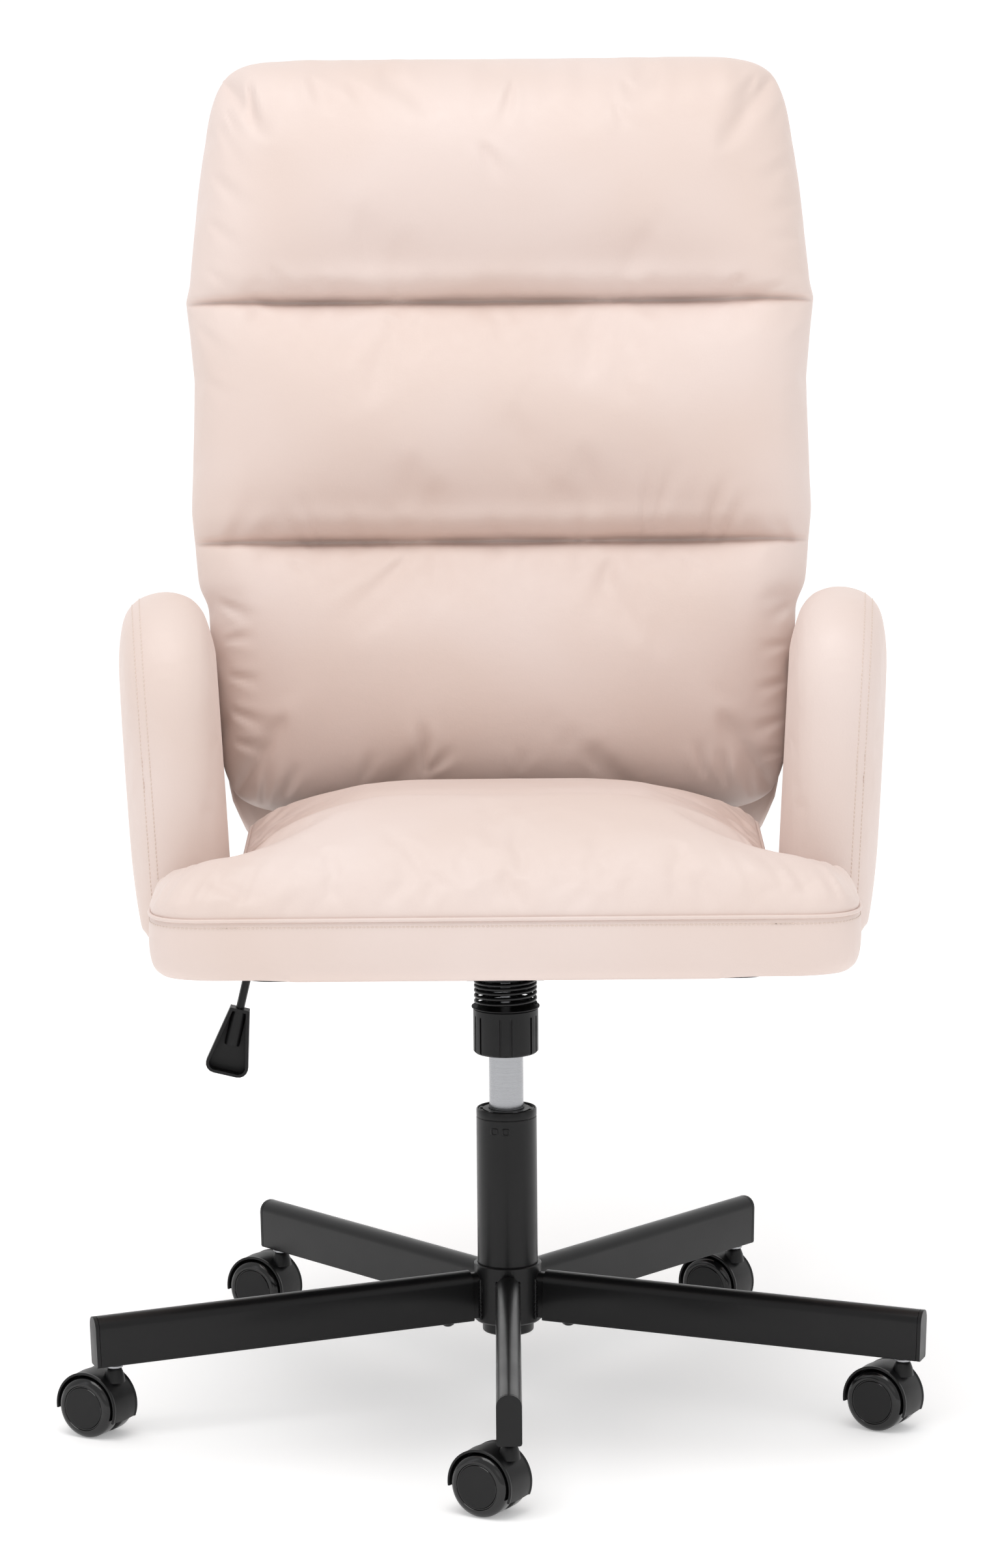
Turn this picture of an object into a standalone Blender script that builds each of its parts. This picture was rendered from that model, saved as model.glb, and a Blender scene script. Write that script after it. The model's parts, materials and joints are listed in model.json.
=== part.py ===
"""High-back swivel office chair: five-star steel base on twin-wheel casters, gas lift,
swivel-tilt mechanism with a tension knob, and an upholstered seat, back and two arms.

Metres, +Z up, -Y is the front. The origin is where the column's axis meets the floor.
"""
import math

import bmesh
import bpy
from mathutils import Matrix, Vector

# ---------------------------------------------------------------- driving dimensions
GAP = 0.0003                    # between pieces that touch
RUNNING = 0.0003                # radial play of a shaft or pin in its hole
DRILL_OVERRUN = 0.0050          # how far a drill or a bore starts outside its piece

# base
LEG_COUNT = 5
FRONT_LEG_ANGLE = -90.0         # degrees about +Z from +X
LEG_GAP_TO_HUB = 0.0043         # from the hub's wall to the start of a leg tube
LEG_TIP = 0.3470                # radius where a leg tube ends
LEG_WIDTH = 0.0200
LEG_HEIGHT = 0.0410
LEG_WALL = 0.0018
LEG_TOP_RADIUS = 0.0095
LEG_FOOT_RADIUS = 0.0020
LEG_DROP = 0.0105               # fall of a leg from its start to its tip
LEG_ABOVE_WHEELS = 0.0200       # from the wheels' top to a leg's underside at its start
CAP_FLANGE = 0.0030
CAP_PLUG = 0.0320
STUB_END = 0.0720               # radius where a hub stub ends inside its leg
HUB_WALL = 0.0030
HUB_RISE = 0.0460               # of the hub's top over a leg's underside
HUB_DROP = 0.0025               # of the hub's bottom under a leg's underside
HUB_CHAMFER = 0.0015
HUB_SEAT_HEIGHT = 0.0015        # of the step that carries the column
LEG_BOLT_RADIUS_FROM_AXIS = 0.0520
BOLT_SHANK = 0.0030
BOLT_LENGTH = 0.0140
BOLT_HEAD = 0.0057
BOLT_HEAD_HEIGHT = 0.0035

# casters
WHEEL_RADIUS = 0.0250
WHEEL_WIDTH = 0.0165
WHEEL_DISC_SHARE = 0.76         # of the radius that is the flat outer disc
WHEEL_INNER_CHAMFER = 0.0020
WHEEL_SIDE_PLAY = 0.0008
CASTER_TRAIL = 0.0177           # from the stem's axis to the axle
CASTER_YAW = 149.0              # direction in which the wheels trail
STEM_FROM_AXIS = 0.3340
STEM_RADIUS = 0.0040
STEM_RING_RADIUS = 0.0070
STEM_RING_HEIGHT = 0.0020
STEM_DEPTH_IN_CAP = 0.0280
STEM_CHAMFER = 0.0010
HOOD_WALL = 0.0020
HOOD_CLEARANCE = 0.0015
HOOD_HALF_WIDTH = 0.0165
HOOD_WEB = 0.0050
HOOD_BOSS_RADIUS = 0.0072
HOOD_OUTER_END = -7.0           # degrees, lip on the trailing side
HOOD_INNER_END = 202.0          # degrees, lip on the stem's side
AXLE_RADIUS = 0.0025
HUB_CAP_THICKNESS = 0.0030      # outer face of a wheel over its axle's end

# column
COLUMN_RADIUS = 0.0247
COLUMN_WALL = 0.0015
COLUMN_TOP = 0.2458
COLUMN_BELOW_HUB = 0.0095
COLUMN_FLOOR_THICKNESS = 0.0080
COLUMN_FOOT_RADIUS = 0.0210
COLUMN_RIM = 0.0012             # roll of the tube's ends
COLUMN_FLOOR_FILLET = 0.0060
GROOVE_BELOW_TOP = 0.0071
GROOVE_DEPTH = 0.0004
BUSH_LENGTH = 0.0600
BUSH_BELOW_RIM = 0.0014
CYLINDER_RADIUS = 0.0140
CYLINDER_BOTTOM = 0.1650
CYLINDER_TOP = 0.3680
CYLINDER_BORE = 0.0065
CYLINDER_CHAMFER = 0.0008
ROD_RADIUS = 0.0050
ROD_TOP = 0.2400
ROD_FLANGE_RADIUS = 0.0120
ROD_FLANGE_HEIGHT = 0.0040
BUTTON_RADIUS = 0.0035
BUTTON_HEAD_RADIUS = 0.0050
BUTTON_TOP = 0.3762
BUTTON_HEAD_HEIGHT = 0.0030
BUTTON_DEPTH = 0.0120
BUTTON_TRAVEL = 0.0040

# swivel-tilt mechanism
HOUSING_HALF_WIDTH = 0.0305
SOCKET_HALF_WIDTH = 0.0235      # of the deep part around the gas cylinder
HOUSING_FRONT = -0.1250
HOUSING_REAR = 0.0460
HOUSING_BOTTOM_AT_SPRING = 0.3765
HOUSING_BOTTOM_AT_COLUMN = 0.3500
HOUSING_TOP_AT_SPRING = 0.3880
HOUSING_TOP_AT_COLUMN = 0.3700
SHELF_THICKNESS = 0.0060        # of the housing beside its deep part
EAR_TOP = 0.3830
EAR_THICKNESS = 0.0040
EAR_HALF_LENGTH = 0.0100
HOUSING_BEND = 0.0120           # length of the step between its two depths
HOUSING_OVERRUN = 0.0200        # how far its cutters reach past it
SPRING_Y = -0.0900
SPRING_RADIUS = 0.0254          # outer
SPRING_WIRE = 0.0031            # wire diameter
SPRING_COILS = 8.0
SPRING_POINTS_PER_COIL = 10
SPRING_CUP_PLAY = 0.0024
SPRING_CUP_ROOF = 0.0022
WASHER_RADIUS = 0.0274
WASHER_THICKNESS = 0.0012
KNOB_RADIUS = 0.0260
KNOB_TOP = 0.3480
KNOB_HEIGHT = 0.0390
KNOB_CROWN = 0.0025
KNOB_SLOT_PAIRS = 6
KNOB_SLOT_SPREAD = 9.0          # degrees from a pair's middle to each slot
KNOB_SLOT_WIDTH = 0.0020
KNOB_SLOT_DEPTH = 0.0012
KNOB_SLOT_BELOW_TOP = 0.0055
KNOB_CHAMFER = 0.0016
TENSION_BOLT_RADIUS = 0.0040
TENSION_BOLT_HEAD_RADIUS = 0.0080
TENSION_BOLT_HEAD_HEIGHT = 0.0026
TENSION_BOLT_DEPTH_IN_KNOB = 0.0300
BOLT_SLOT_PLAY = 0.0015
PIVOT_Y = -0.0300
PIVOT_Z = 0.3790
TILT_LIMIT = 8.0                # degrees
PIN_RADIUS = 0.0040
PLATE_HALF_WIDTH = 0.0750
PLATE_FRONT = -0.1300
PLATE_REAR = 0.0950
PLATE_UNDERSIDE = 0.3940
PLATE_THICKNESS = 0.0030
FLANGE_THICKNESS = 0.0030
FLANGE_HALF_LENGTH = 0.0300
FLANGE_PLAY = 0.0012
FLANGE_BELOW_PIN = 0.0095

# height lever
LEVER_RADIUS = 0.0035
LEVER_INNER_END = 0.0060
LEVER_ELBOW = (-0.2077, 0.3660)     # x, z of the bend
LEVER_ELBOW_RADIUS = 0.0120
LEVER_LEAN = 13.5               # degrees of the grip from the vertical, outwards
LEVER_ROD_END_Z = 0.3120
PADDLE_TOP_Z = 0.3300
PADDLE_LENGTH = 0.0560
PADDLE_TOP_WIDTH = 0.0160
PADDLE_FOOT_WIDTH = 0.0350
PADDLE_DEPTH = 0.0130
PADDLE_WALL = 0.0025
PADDLE_FOOT_RADIUS = 0.0080
PADDLE_BOSS_RADIUS = 0.0062
PADDLE_BOSS_LENGTH = 0.0300

# shell, cushions and arms
BOARD_HALF_WIDTH = 0.2050
BOARD_FRONT = -0.2250
BOARD_THICKNESS = 0.0098
RECLINE = 10.0                  # degrees of the back from the vertical
BACK_PANEL_FRONT_Y = 0.2600     # at the board's top
BACK_PANEL_THICKNESS = 0.0220
BACK_TOP = 1.0840
BACK_PANEL_TOP = 1.0560
BACK_BOTTOM = 0.4420
BACK_CUSHION_DEPTH = 0.0950
BACK_CUSHION_EDGE = 0.0260
BACK_SHOULDER_HALF = 0.2540     # half-width above the arms
BACK_HEAD_HALF = 0.2380         # half-width at the top corners
BACK_CORNER_RADIUS = 0.0450
BACK_PANEL_INSET = 0.0120
BACK_OVER_ARMS = 0.0120         # height of the back's shoulders over the arms
SEAT_BOTTOM = 0.4080
SEAT_TOP = 0.5050
SEAT_FRONT = -0.2700
SEAT_REAR = 0.1550
SEAT_EAR_REAR = -0.1750
SEAT_EAR_HALF = 0.2755
SEAT_EDGE = 0.0240
SEAT_CORNER_RADIUS = 0.0350
ARM_THICKNESS = 0.0700
ARM_OUTER_AT_BOTTOM = 0.2850
ARM_LEAN = 3.0                  # degrees outwards
ARM_TOE = 3.2                   # degrees by which the arms part towards the rear
ARM_FALL = 11.5                 # degrees by which the top falls towards the rear
ARM_BOTTOM = 0.4100
ARM_TOP = 0.6820
ARM_FRONT = -0.1680
ARM_FRONT_RADIUS = 0.0800
ARM_EDGE = 0.0320
ARM_TO_CUSHION = 0.0020

# ---------------------------------------------------------------- worked-out dimensions
HUB_RADIUS = COLUMN_RADIUS + HUB_WALL
LEG_START = HUB_RADIUS + LEG_GAP_TO_HUB
LEG_SLOPE = math.atan2(LEG_DROP, LEG_TIP - LEG_START)
LEG_UNDERSIDE_AT_HUB = 2 * WHEEL_RADIUS + LEG_ABOVE_WHEELS
HUB_TOP = LEG_UNDERSIDE_AT_HUB + HUB_RISE
HUB_BOTTOM = LEG_UNDERSIDE_AT_HUB - HUB_DROP
COLUMN_FLOOR = HUB_BOTTOM - COLUMN_BELOW_HUB
STUB_SECTION_INSET = LEG_WALL + GAP
AXLE_Z = WHEEL_RADIUS
HOOD_INNER_RADIUS = WHEEL_RADIUS + HOOD_CLEARANCE
HOOD_RADIUS = HOOD_INNER_RADIUS + HOOD_WALL
WHEEL_INNER_FACE = HOOD_WEB / 2 + WHEEL_SIDE_PLAY
WASHER_Z = KNOB_TOP + GAP
SPRING_BOTTOM = WASHER_Z + WASHER_THICKNESS + GAP
CUP_ROOF_Z = HOUSING_TOP_AT_SPRING - SPRING_CUP_ROOF
SPRING_TOP = CUP_ROOF_Z - GAP
PLATE_TOP = PLATE_UNDERSIDE + PLATE_THICKNESS
BOARD_UNDERSIDE = PLATE_TOP + GAP
BOARD_TOP = BOARD_UNDERSIDE + BOARD_THICKNESS
BACK_SIN, BACK_COS = math.sin(math.radians(RECLINE)), math.cos(math.radians(RECLINE))


def leg_underside(radius):
    """Height of a leg's underside at a distance from the column's axis."""
    return LEG_UNDERSIDE_AT_HUB - (radius - LEG_START) * math.tan(LEG_SLOPE)


# ---------------------------------------------------------------- scene and helpers
def clear_scene():
    for obj in list(bpy.data.objects):
        bpy.data.objects.remove(obj, do_unlink=True)


def make_collection(name):
    found = bpy.data.collections.get(name) or bpy.data.collections.new(name)
    if name not in bpy.context.scene.collection.children:
        bpy.context.scene.collection.children.link(found)
    return found


clear_scene()
PARTS = make_collection("office_chair")
CUTTERS = make_collection("cutters")


def finish(name, colour, roughness, metallic=0.0):
    """A material with one Principled shader."""
    material = bpy.data.materials.new(name)
    material.use_nodes = True
    shader = material.node_tree.nodes["Principled BSDF"]
    shader.inputs["Base Color"].default_value = (*colour, 1.0)
    shader.inputs["Roughness"].default_value = roughness
    shader.inputs["Metallic"].default_value = metallic
    return material


BLACK_STEEL = finish("black_powder_coated_steel", (0.016, 0.016, 0.017), 0.42, 0.3)
BLACK_NYLON = finish("black_nylon", (0.018, 0.018, 0.019), 0.55)
GLOSS_TYRE = finish("black_tyre", (0.012, 0.012, 0.013), 0.22)
BRIGHT_STEEL = finish("ground_steel", (0.56, 0.56, 0.57), 0.28, 1.0)
DARK_SPRING = finish("black_spring_steel", (0.010, 0.010, 0.011), 0.35, 0.6)
PLYWOOD = finish("plywood", (0.42, 0.29, 0.17), 0.65)
UPHOLSTERY = finish("blush_faux_leather", (0.80, 0.66, 0.57), 0.48)


def add(name, mesh, material, matrix=None, collection=None):
    """Put a mesh in the scene as a named object."""
    obj = bpy.data.objects.new(name, mesh)
    obj.matrix_world = matrix or Matrix.Identity(4)
    (collection or PARTS).objects.link(obj)
    if material and not mesh.materials:
        mesh.materials.append(material)
    return obj


def smooth(mesh, angle=35.0):
    mesh.shade_smooth()
    mesh.set_sharp_from_angle(angle=math.radians(angle))


def evaluated_mesh(obj):
    """The object's mesh with its modifiers applied, in its own frame."""
    bpy.context.view_layer.update()
    graph = bpy.context.evaluated_depsgraph_get()
    return bpy.data.meshes.new_from_object(obj.evaluated_get(graph))


def bake(obj, angle=35.0):
    """Apply every modifier of an object and shade the result."""
    mesh = evaluated_mesh(obj)
    materials = list(obj.data.materials)
    obj.modifiers.clear()
    obj.data = mesh
    mesh.materials.clear()
    for material in materials:
        mesh.materials.append(material)
    smooth(mesh, angle)
    return obj


def box_mesh(name, low, high):
    """A box between two corners."""
    low, high = Vector(low), Vector(high)
    shape = bmesh.new()
    bmesh.ops.create_cube(shape, size=1.0)
    bmesh.ops.transform(
        shape, verts=shape.verts,
        matrix=Matrix.Translation((low + high) / 2) @ Matrix.Diagonal((*(high - low), 1)))
    mesh = bpy.data.meshes.new(name)
    shape.to_mesh(mesh)
    shape.free()
    return mesh


def rod_mesh(name, start, end, radius, segments=16, end_radius=None):
    """A cylinder or cone between two points."""
    start, end = Vector(start), Vector(end)
    shape = bmesh.new()
    turn = (end - start).to_track_quat("Z", "Y").to_matrix().to_4x4()
    bmesh.ops.create_cone(
        shape, cap_ends=True, segments=segments, radius1=radius,
        radius2=radius if end_radius is None else end_radius, depth=(end - start).length,
        matrix=Matrix.Translation((start + end) / 2) @ turn)
    mesh = bpy.data.meshes.new(name)
    shape.to_mesh(mesh)
    shape.free()
    return mesh


def turned(name, profile, material, steps, matrix=None, ring=False):
    """A turned solid: (radius, height) points down its outer side, closed for a ring."""
    mesh = bpy.data.meshes.new(name)
    points = [(radius, 0.0, height) for radius, height in profile]
    edges = [(i, i + 1) for i in range(len(points) - 1)]
    if ring:
        edges.append((len(points) - 1, 0))
    mesh.from_pydata(points, edges, [])
    obj = add(name, mesh, material, matrix)
    screw = obj.modifiers.new("turn", "SCREW")
    screw.steps = screw.render_steps = steps
    screw.use_merge_vertices = True
    screw.merge_threshold = 0.00001
    return bake(obj)


def prism(name, outlines, length, matrix, material=None, collection=None, rounding=0.0):
    """A flat outline, with any holes, extruded about its plane and placed by a matrix.

    The rounding turns the edges of both faces in to a quarter circle of that radius.
    """
    curve = bpy.data.curves.new(name, "CURVE")
    curve.dimensions = "2D"
    curve.fill_mode = "BOTH"
    curve.extrude = length / 2 - rounding
    curve.bevel_depth = rounding
    curve.bevel_resolution = 2
    curve.offset = -rounding
    for outline in outlines:
        spline = curve.splines.new("POLY")
        spline.points.add(len(outline) - 1)
        for point, (x, y) in zip(spline.points, outline):
            point.co = (x, y, 0, 1)
        spline.use_cyclic_u = True
    source = add(name + "_outline", curve, None)
    mesh = evaluated_mesh(source)
    bpy.data.objects.remove(source, do_unlink=True)
    weld(mesh)
    mesh.name = name
    return add(name, mesh, material, matrix, collection)


def weld(mesh):
    """Join a converted curve's loose caps to its sides."""
    shape = bmesh.new()
    shape.from_mesh(mesh)
    bmesh.ops.remove_doubles(shape, verts=shape.verts, dist=0.00001)
    bmesh.ops.recalc_face_normals(shape, faces=shape.faces)
    shape.to_mesh(mesh)
    shape.free()


def wire(name, points, radius, material, resolution=2):
    """A round bar along a row of points, as a welded mesh."""
    curve = bpy.data.curves.new(name, "CURVE")
    curve.dimensions = "3D"
    curve.bevel_depth = radius
    curve.bevel_resolution = resolution
    curve.use_fill_caps = True
    spline = curve.splines.new("POLY")
    spline.points.add(len(points) - 1)
    for point, place in zip(spline.points, points):
        point.co = (*place, 1)
    source = add(name + "_path", curve, None)
    mesh = evaluated_mesh(source)
    bpy.data.objects.remove(source, do_unlink=True)
    weld(mesh)
    mesh.name = name
    smooth(mesh)
    return add(name, mesh, material)


def combine(obj, other_mesh_or_object, operation, matrix=None):
    """Add or cut another shape with an exact Boolean; the other becomes a cutter."""
    other = other_mesh_or_object
    if isinstance(other, bpy.types.Mesh):
        other = add(other.name, other, None, matrix, CUTTERS)
    other.hide_render = True
    other.display_type = "WIRE"
    modifier = obj.modifiers.new(other.name, "BOOLEAN")
    modifier.operation = operation
    modifier.solver = "EXACT"
    modifier.object = other
    return obj


def arc(centre, radius, start, end, steps):
    """Points on an arc, in degrees, both ends included."""
    angles = [math.radians(start + (end - start) * i / steps) for i in range(steps + 1)]
    return [(centre[0] + radius * math.cos(a), centre[1] + radius * math.sin(a)) for a in angles]


def around(angle):
    """A turn about the column's axis, in degrees."""
    return Matrix.Rotation(math.radians(angle), 4, "Z")


def leg_angle(index):
    return FRONT_LEG_ANGLE + index * 360.0 / LEG_COUNT


def leg_number(index):
    return str(index + 1)


# a matrix that stands an outline in the Y-Z plane, its length running along X
ACROSS_X = Matrix(((0, 0, 1, 0), (1, 0, 0, 0), (0, 1, 0, 0), (0, 0, 0, 1)))
# a matrix that stands an outline in the X-Z plane, its length running along -Y
ACROSS_Y = Matrix(((1, 0, 0, 0), (0, 0, -1, 0), (0, 1, 0, 0), (0, 0, 0, 1)))


# ---------------------------------------------------------------- base
def leg_outline(inset):
    """A leg's section, flat-sided with a rounded top, from its underside at z = 0."""
    half, top = LEG_WIDTH / 2 - inset, LEG_TOP_RADIUS - inset
    foot = max(LEG_FOOT_RADIUS - inset, GAP)
    height = LEG_HEIGHT - inset
    return (arc((half - foot, inset + foot), foot, -90, 0, 2)
            + arc((half - top, height - top), top, 0, 90, 5)
            + arc((-half + top, height - top), top, 90, 180, 5)
            + arc((-half + foot, inset + foot), foot, 180, 270, 2))


def leg_frame(start, end):
    """Places a leg section's outline so that it runs between two radii, with the fall."""
    lean = Matrix.Rotation(LEG_SLOPE, 4, "Y")
    pivot = Matrix.Translation((LEG_START, 0, LEG_UNDERSIDE_AT_HUB))
    along = Matrix.Translation(((start + end) / 2 - LEG_START, 0, 0))
    return pivot @ lean @ along @ ACROSS_X


def make_legs():
    """Five tubes, each drilled below for its caster's stem and for its bolt."""
    tube = prism("leg_tube", [leg_outline(0), leg_outline(LEG_WALL)], LEG_TIP - LEG_START,
                 leg_frame(LEG_START, LEG_TIP), BLACK_STEEL)
    foot = leg_underside(STEM_FROM_AXIS)
    combine(tube, rod_mesh("stem_drill", (STEM_FROM_AXIS, 0, foot - DRILL_OVERRUN),
                           (STEM_FROM_AXIS, 0, foot + LEG_HEIGHT / 2), STEM_RADIUS + 2 * RUNNING),
            "DIFFERENCE")
    foot = leg_underside(LEG_BOLT_RADIUS_FROM_AXIS)
    combine(tube, rod_mesh("leg_bolt_drill", (LEG_BOLT_RADIUS_FROM_AXIS, 0, foot - DRILL_OVERRUN),
                           (LEG_BOLT_RADIUS_FROM_AXIS, 0, foot + LEG_HEIGHT / 2),
                           BOLT_SHANK + RUNNING), "DIFFERENCE")
    spread(bake(tube), "base_leg_")


def spread(master, prefix):
    """Copies of a piece made along +X, one to each leg; the master goes."""
    for index in range(LEG_COUNT):
        add(prefix + leg_number(index), master.data, None,
            around(leg_angle(index)) @ master.matrix_world)
    bpy.data.objects.remove(master, do_unlink=True)


def make_leg_caps():
    """End plugs: a flange that closes the tube and a block bored for the stem."""
    plug = prism("plug", [leg_outline(STUB_SECTION_INSET)], CAP_PLUG + CAP_FLANGE / 2,
                 leg_frame(LEG_TIP - CAP_PLUG, LEG_TIP + CAP_FLANGE / 2), BLACK_NYLON)
    flange = prism("flange", [leg_outline(0)], CAP_FLANGE,
                   leg_frame(LEG_TIP + GAP, LEG_TIP + GAP + CAP_FLANGE), None, CUTTERS)
    combine(plug, flange, "UNION")
    foot = leg_underside(STEM_FROM_AXIS)
    combine(plug, rod_mesh("stem_bore", (STEM_FROM_AXIS, 0, foot - DRILL_OVERRUN),
                           (STEM_FROM_AXIS, 0, foot + STEM_DEPTH_IN_CAP + 2 * GAP),
                           STEM_RADIUS + RUNNING), "DIFFERENCE")
    spread(bake(plug), "leg_cap_")


def make_hub():
    """Collar with five stubs that plug into the legs, drilled for the leg bolts."""
    inner = COLUMN_RADIUS + GAP
    foot = COLUMN_FOOT_RADIUS + GAP
    chamfer = HUB_CHAMFER
    shoulder = HUB_BOTTOM + HUB_SEAT_HEIGHT
    profile = [(inner, HUB_TOP), (HUB_RADIUS - chamfer / 2, HUB_TOP),
               (HUB_RADIUS, HUB_TOP - chamfer / 2), (HUB_RADIUS, HUB_BOTTOM + chamfer),
               (HUB_RADIUS - chamfer, HUB_BOTTOM), (foot, HUB_BOTTOM), (foot, shoulder),
               (inner, shoulder + inner - foot)]
    hub = turned("base_hub", profile, BLACK_STEEL, 32, ring=True)
    for index in range(LEG_COUNT):
        stub = prism("stub_" + leg_number(index), [leg_outline(STUB_SECTION_INSET)],
                     STUB_END - inner - GAP,
                     around(leg_angle(index)) @ leg_frame(inner + GAP, STUB_END), None, CUTTERS)
        combine(hub, stub, "UNION")
    foot = leg_underside(LEG_BOLT_RADIUS_FROM_AXIS)
    for index in range(LEG_COUNT):
        drill = rod_mesh("stub_drill_" + leg_number(index),
                         (LEG_BOLT_RADIUS_FROM_AXIS, 0, foot - DRILL_OVERRUN),
                         (LEG_BOLT_RADIUS_FROM_AXIS, 0, foot + BOLT_LENGTH + 2 * GAP),
                         BOLT_SHANK + RUNNING, 12)
        combine(hub, drill, "DIFFERENCE", around(leg_angle(index)))
    bake(hub)


def make_leg_bolts():
    """Domed bolts that hold the legs on their stubs, from below."""
    top = leg_underside(LEG_BOLT_RADIUS_FROM_AXIS + BOLT_HEAD) - GAP
    dome = [(BOLT_HEAD * math.cos(math.radians(a)), top - BOLT_HEAD_HEIGHT * math.sin(math.radians(a)))
            for a in (0, 30, 60)]
    profile = [(0, top + BOLT_LENGTH), (BOLT_SHANK, top + BOLT_LENGTH), (BOLT_SHANK, top),
               *dome, (0, top - BOLT_HEAD_HEIGHT)]
    place = Matrix.Translation((LEG_BOLT_RADIUS_FROM_AXIS, 0, 0))
    spread(turned("leg_bolt", profile, BRIGHT_STEEL, 12, place), "leg_bolt_")


# ---------------------------------------------------------------- casters
def caster_frame(index):
    """The caster's own frame: stem on z, wheels trailing along +x, axle along y."""
    stem = around(leg_angle(index)) @ Vector((STEM_FROM_AXIS, 0, 0))
    return Matrix.Translation(stem) @ around(CASTER_YAW)


def place_casters(master, prefix, local=None):
    for index in range(LEG_COUNT):
        add(prefix + leg_number(index), master.data, None,
            caster_frame(index) @ (local or Matrix.Identity(4)) @ master.matrix_world)
    bpy.data.objects.remove(master, do_unlink=True)


def boss_top():
    """Height of the hood's boss, under the stem's ring."""
    return stem_ring_top() - STEM_RING_HEIGHT - GAP


def stem_ring_top():
    return leg_underside(STEM_FROM_AXIS + STEM_RING_RADIUS) - GAP


def make_hoods():
    """Barrel-shaped hood with a middle web for the axle and a boss for the stem."""
    axle = (CASTER_TRAIL, AXLE_Z)
    hood = prism("hood", [arc(axle, HOOD_RADIUS, HOOD_OUTER_END, HOOD_INNER_END, 14)],
                 2 * HOOD_HALF_WIDTH, ACROSS_Y, BLACK_NYLON)
    combine(hood, rod_mesh("hood_boss", (0, 0, AXLE_Z + HOOD_RADIUS / 2), (0, 0, boss_top()),
                           HOOD_BOSS_RADIUS, 12), "UNION")
    near, far = (CASTER_TRAIL, -WHEEL_RADIUS, AXLE_Z), (CASTER_TRAIL, WHEEL_RADIUS, AXLE_Z)
    combine(hood, rod_mesh("wheel_space", near, far, HOOD_INNER_RADIUS, 22), "DIFFERENCE")
    middle = HOOD_INNER_RADIUS + HOOD_WALL / 2
    web = prism("hood_web", [arc(axle, middle, HOOD_OUTER_END, HOOD_INNER_END, 14)],
                HOOD_WEB, ACROSS_Y, None, CUTTERS)
    combine(hood, web, "UNION")
    combine(hood, rod_mesh("axle_bore", near, far, AXLE_RADIUS + RUNNING, 10), "DIFFERENCE")
    combine(hood, rod_mesh("hood_stem_bore", (0, 0, stem_bottom() - GAP),
                           (0, 0, boss_top() + DRILL_OVERRUN), STEM_RADIUS + RUNNING, 12),
            "DIFFERENCE")
    place_casters(bake(hood), "caster_hood_")


def stem_bottom():
    """Foot of the stem, just inside the hood's wall above the wheels."""
    middle = HOOD_INNER_RADIUS + HOOD_WALL / 2
    return AXLE_Z + math.sqrt(middle ** 2 - (CASTER_TRAIL - STEM_RADIUS) ** 2)


def make_stems():
    """Stem pressed into the hood, with its grip ring under the leg."""
    ring_top, ring_low = stem_ring_top(), stem_ring_top() - STEM_RING_HEIGHT
    tip = leg_underside(STEM_FROM_AXIS) + STEM_DEPTH_IN_CAP
    chamfer = STEM_CHAMFER
    profile = [(0, tip), (STEM_RADIUS - chamfer, tip), (STEM_RADIUS, tip - chamfer),
               (STEM_RADIUS, ring_top), (STEM_RING_RADIUS, ring_top),
               (STEM_RING_RADIUS, ring_low), (STEM_RADIUS, ring_low),
               (STEM_RADIUS, stem_bottom()), (0, stem_bottom())]
    place_casters(turned("stem", profile, BRIGHT_STEEL, 12), "caster_stem_")


def make_wheels():
    """Twin wheels: a rounded tread, a flat outer disc and a blind bore for the axle."""
    bore = AXLE_RADIUS + RUNNING
    disc = WHEEL_RADIUS * WHEEL_DISC_SHARE
    edge = WHEEL_RADIUS - disc
    face = WHEEL_WIDTH
    shoulder = [(disc + edge * math.sin(math.radians(a)), face - edge + edge * math.cos(math.radians(a)))
                for a in (15, 50, 90)]
    profile = [(0, face), (disc, face), *shoulder, (WHEEL_RADIUS, WHEEL_INNER_CHAMFER),
               (WHEEL_RADIUS - WHEEL_INNER_CHAMFER, 0), (bore, 0), (bore, face - HUB_CAP_THICKNESS),
               (0, face - HUB_CAP_THICKNESS)]
    outward = Matrix.Rotation(math.radians(-90), 4, "X")
    for side, turn in (("left", 0), ("right", 180)):
        wheel = turned("wheel", profile, GLOSS_TYRE, 20)
        flip = Matrix.Rotation(math.radians(turn), 4, "Z")
        local = (Matrix.Translation((CASTER_TRAIL, 0, AXLE_Z)) @ flip
                 @ Matrix.Translation((0, WHEEL_INNER_FACE, 0)) @ outward)
        place_casters(wheel, f"caster_wheel_{side}_", local)


def make_axles():
    reach = WHEEL_INNER_FACE + WHEEL_WIDTH - HUB_CAP_THICKNESS - GAP
    mesh = rod_mesh("axle", (CASTER_TRAIL, -reach, AXLE_Z), (CASTER_TRAIL, reach, AXLE_Z),
                    AXLE_RADIUS, 12)
    smooth(mesh)
    place_casters(add("axle", mesh, BRIGHT_STEEL), "caster_axle_")


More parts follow.
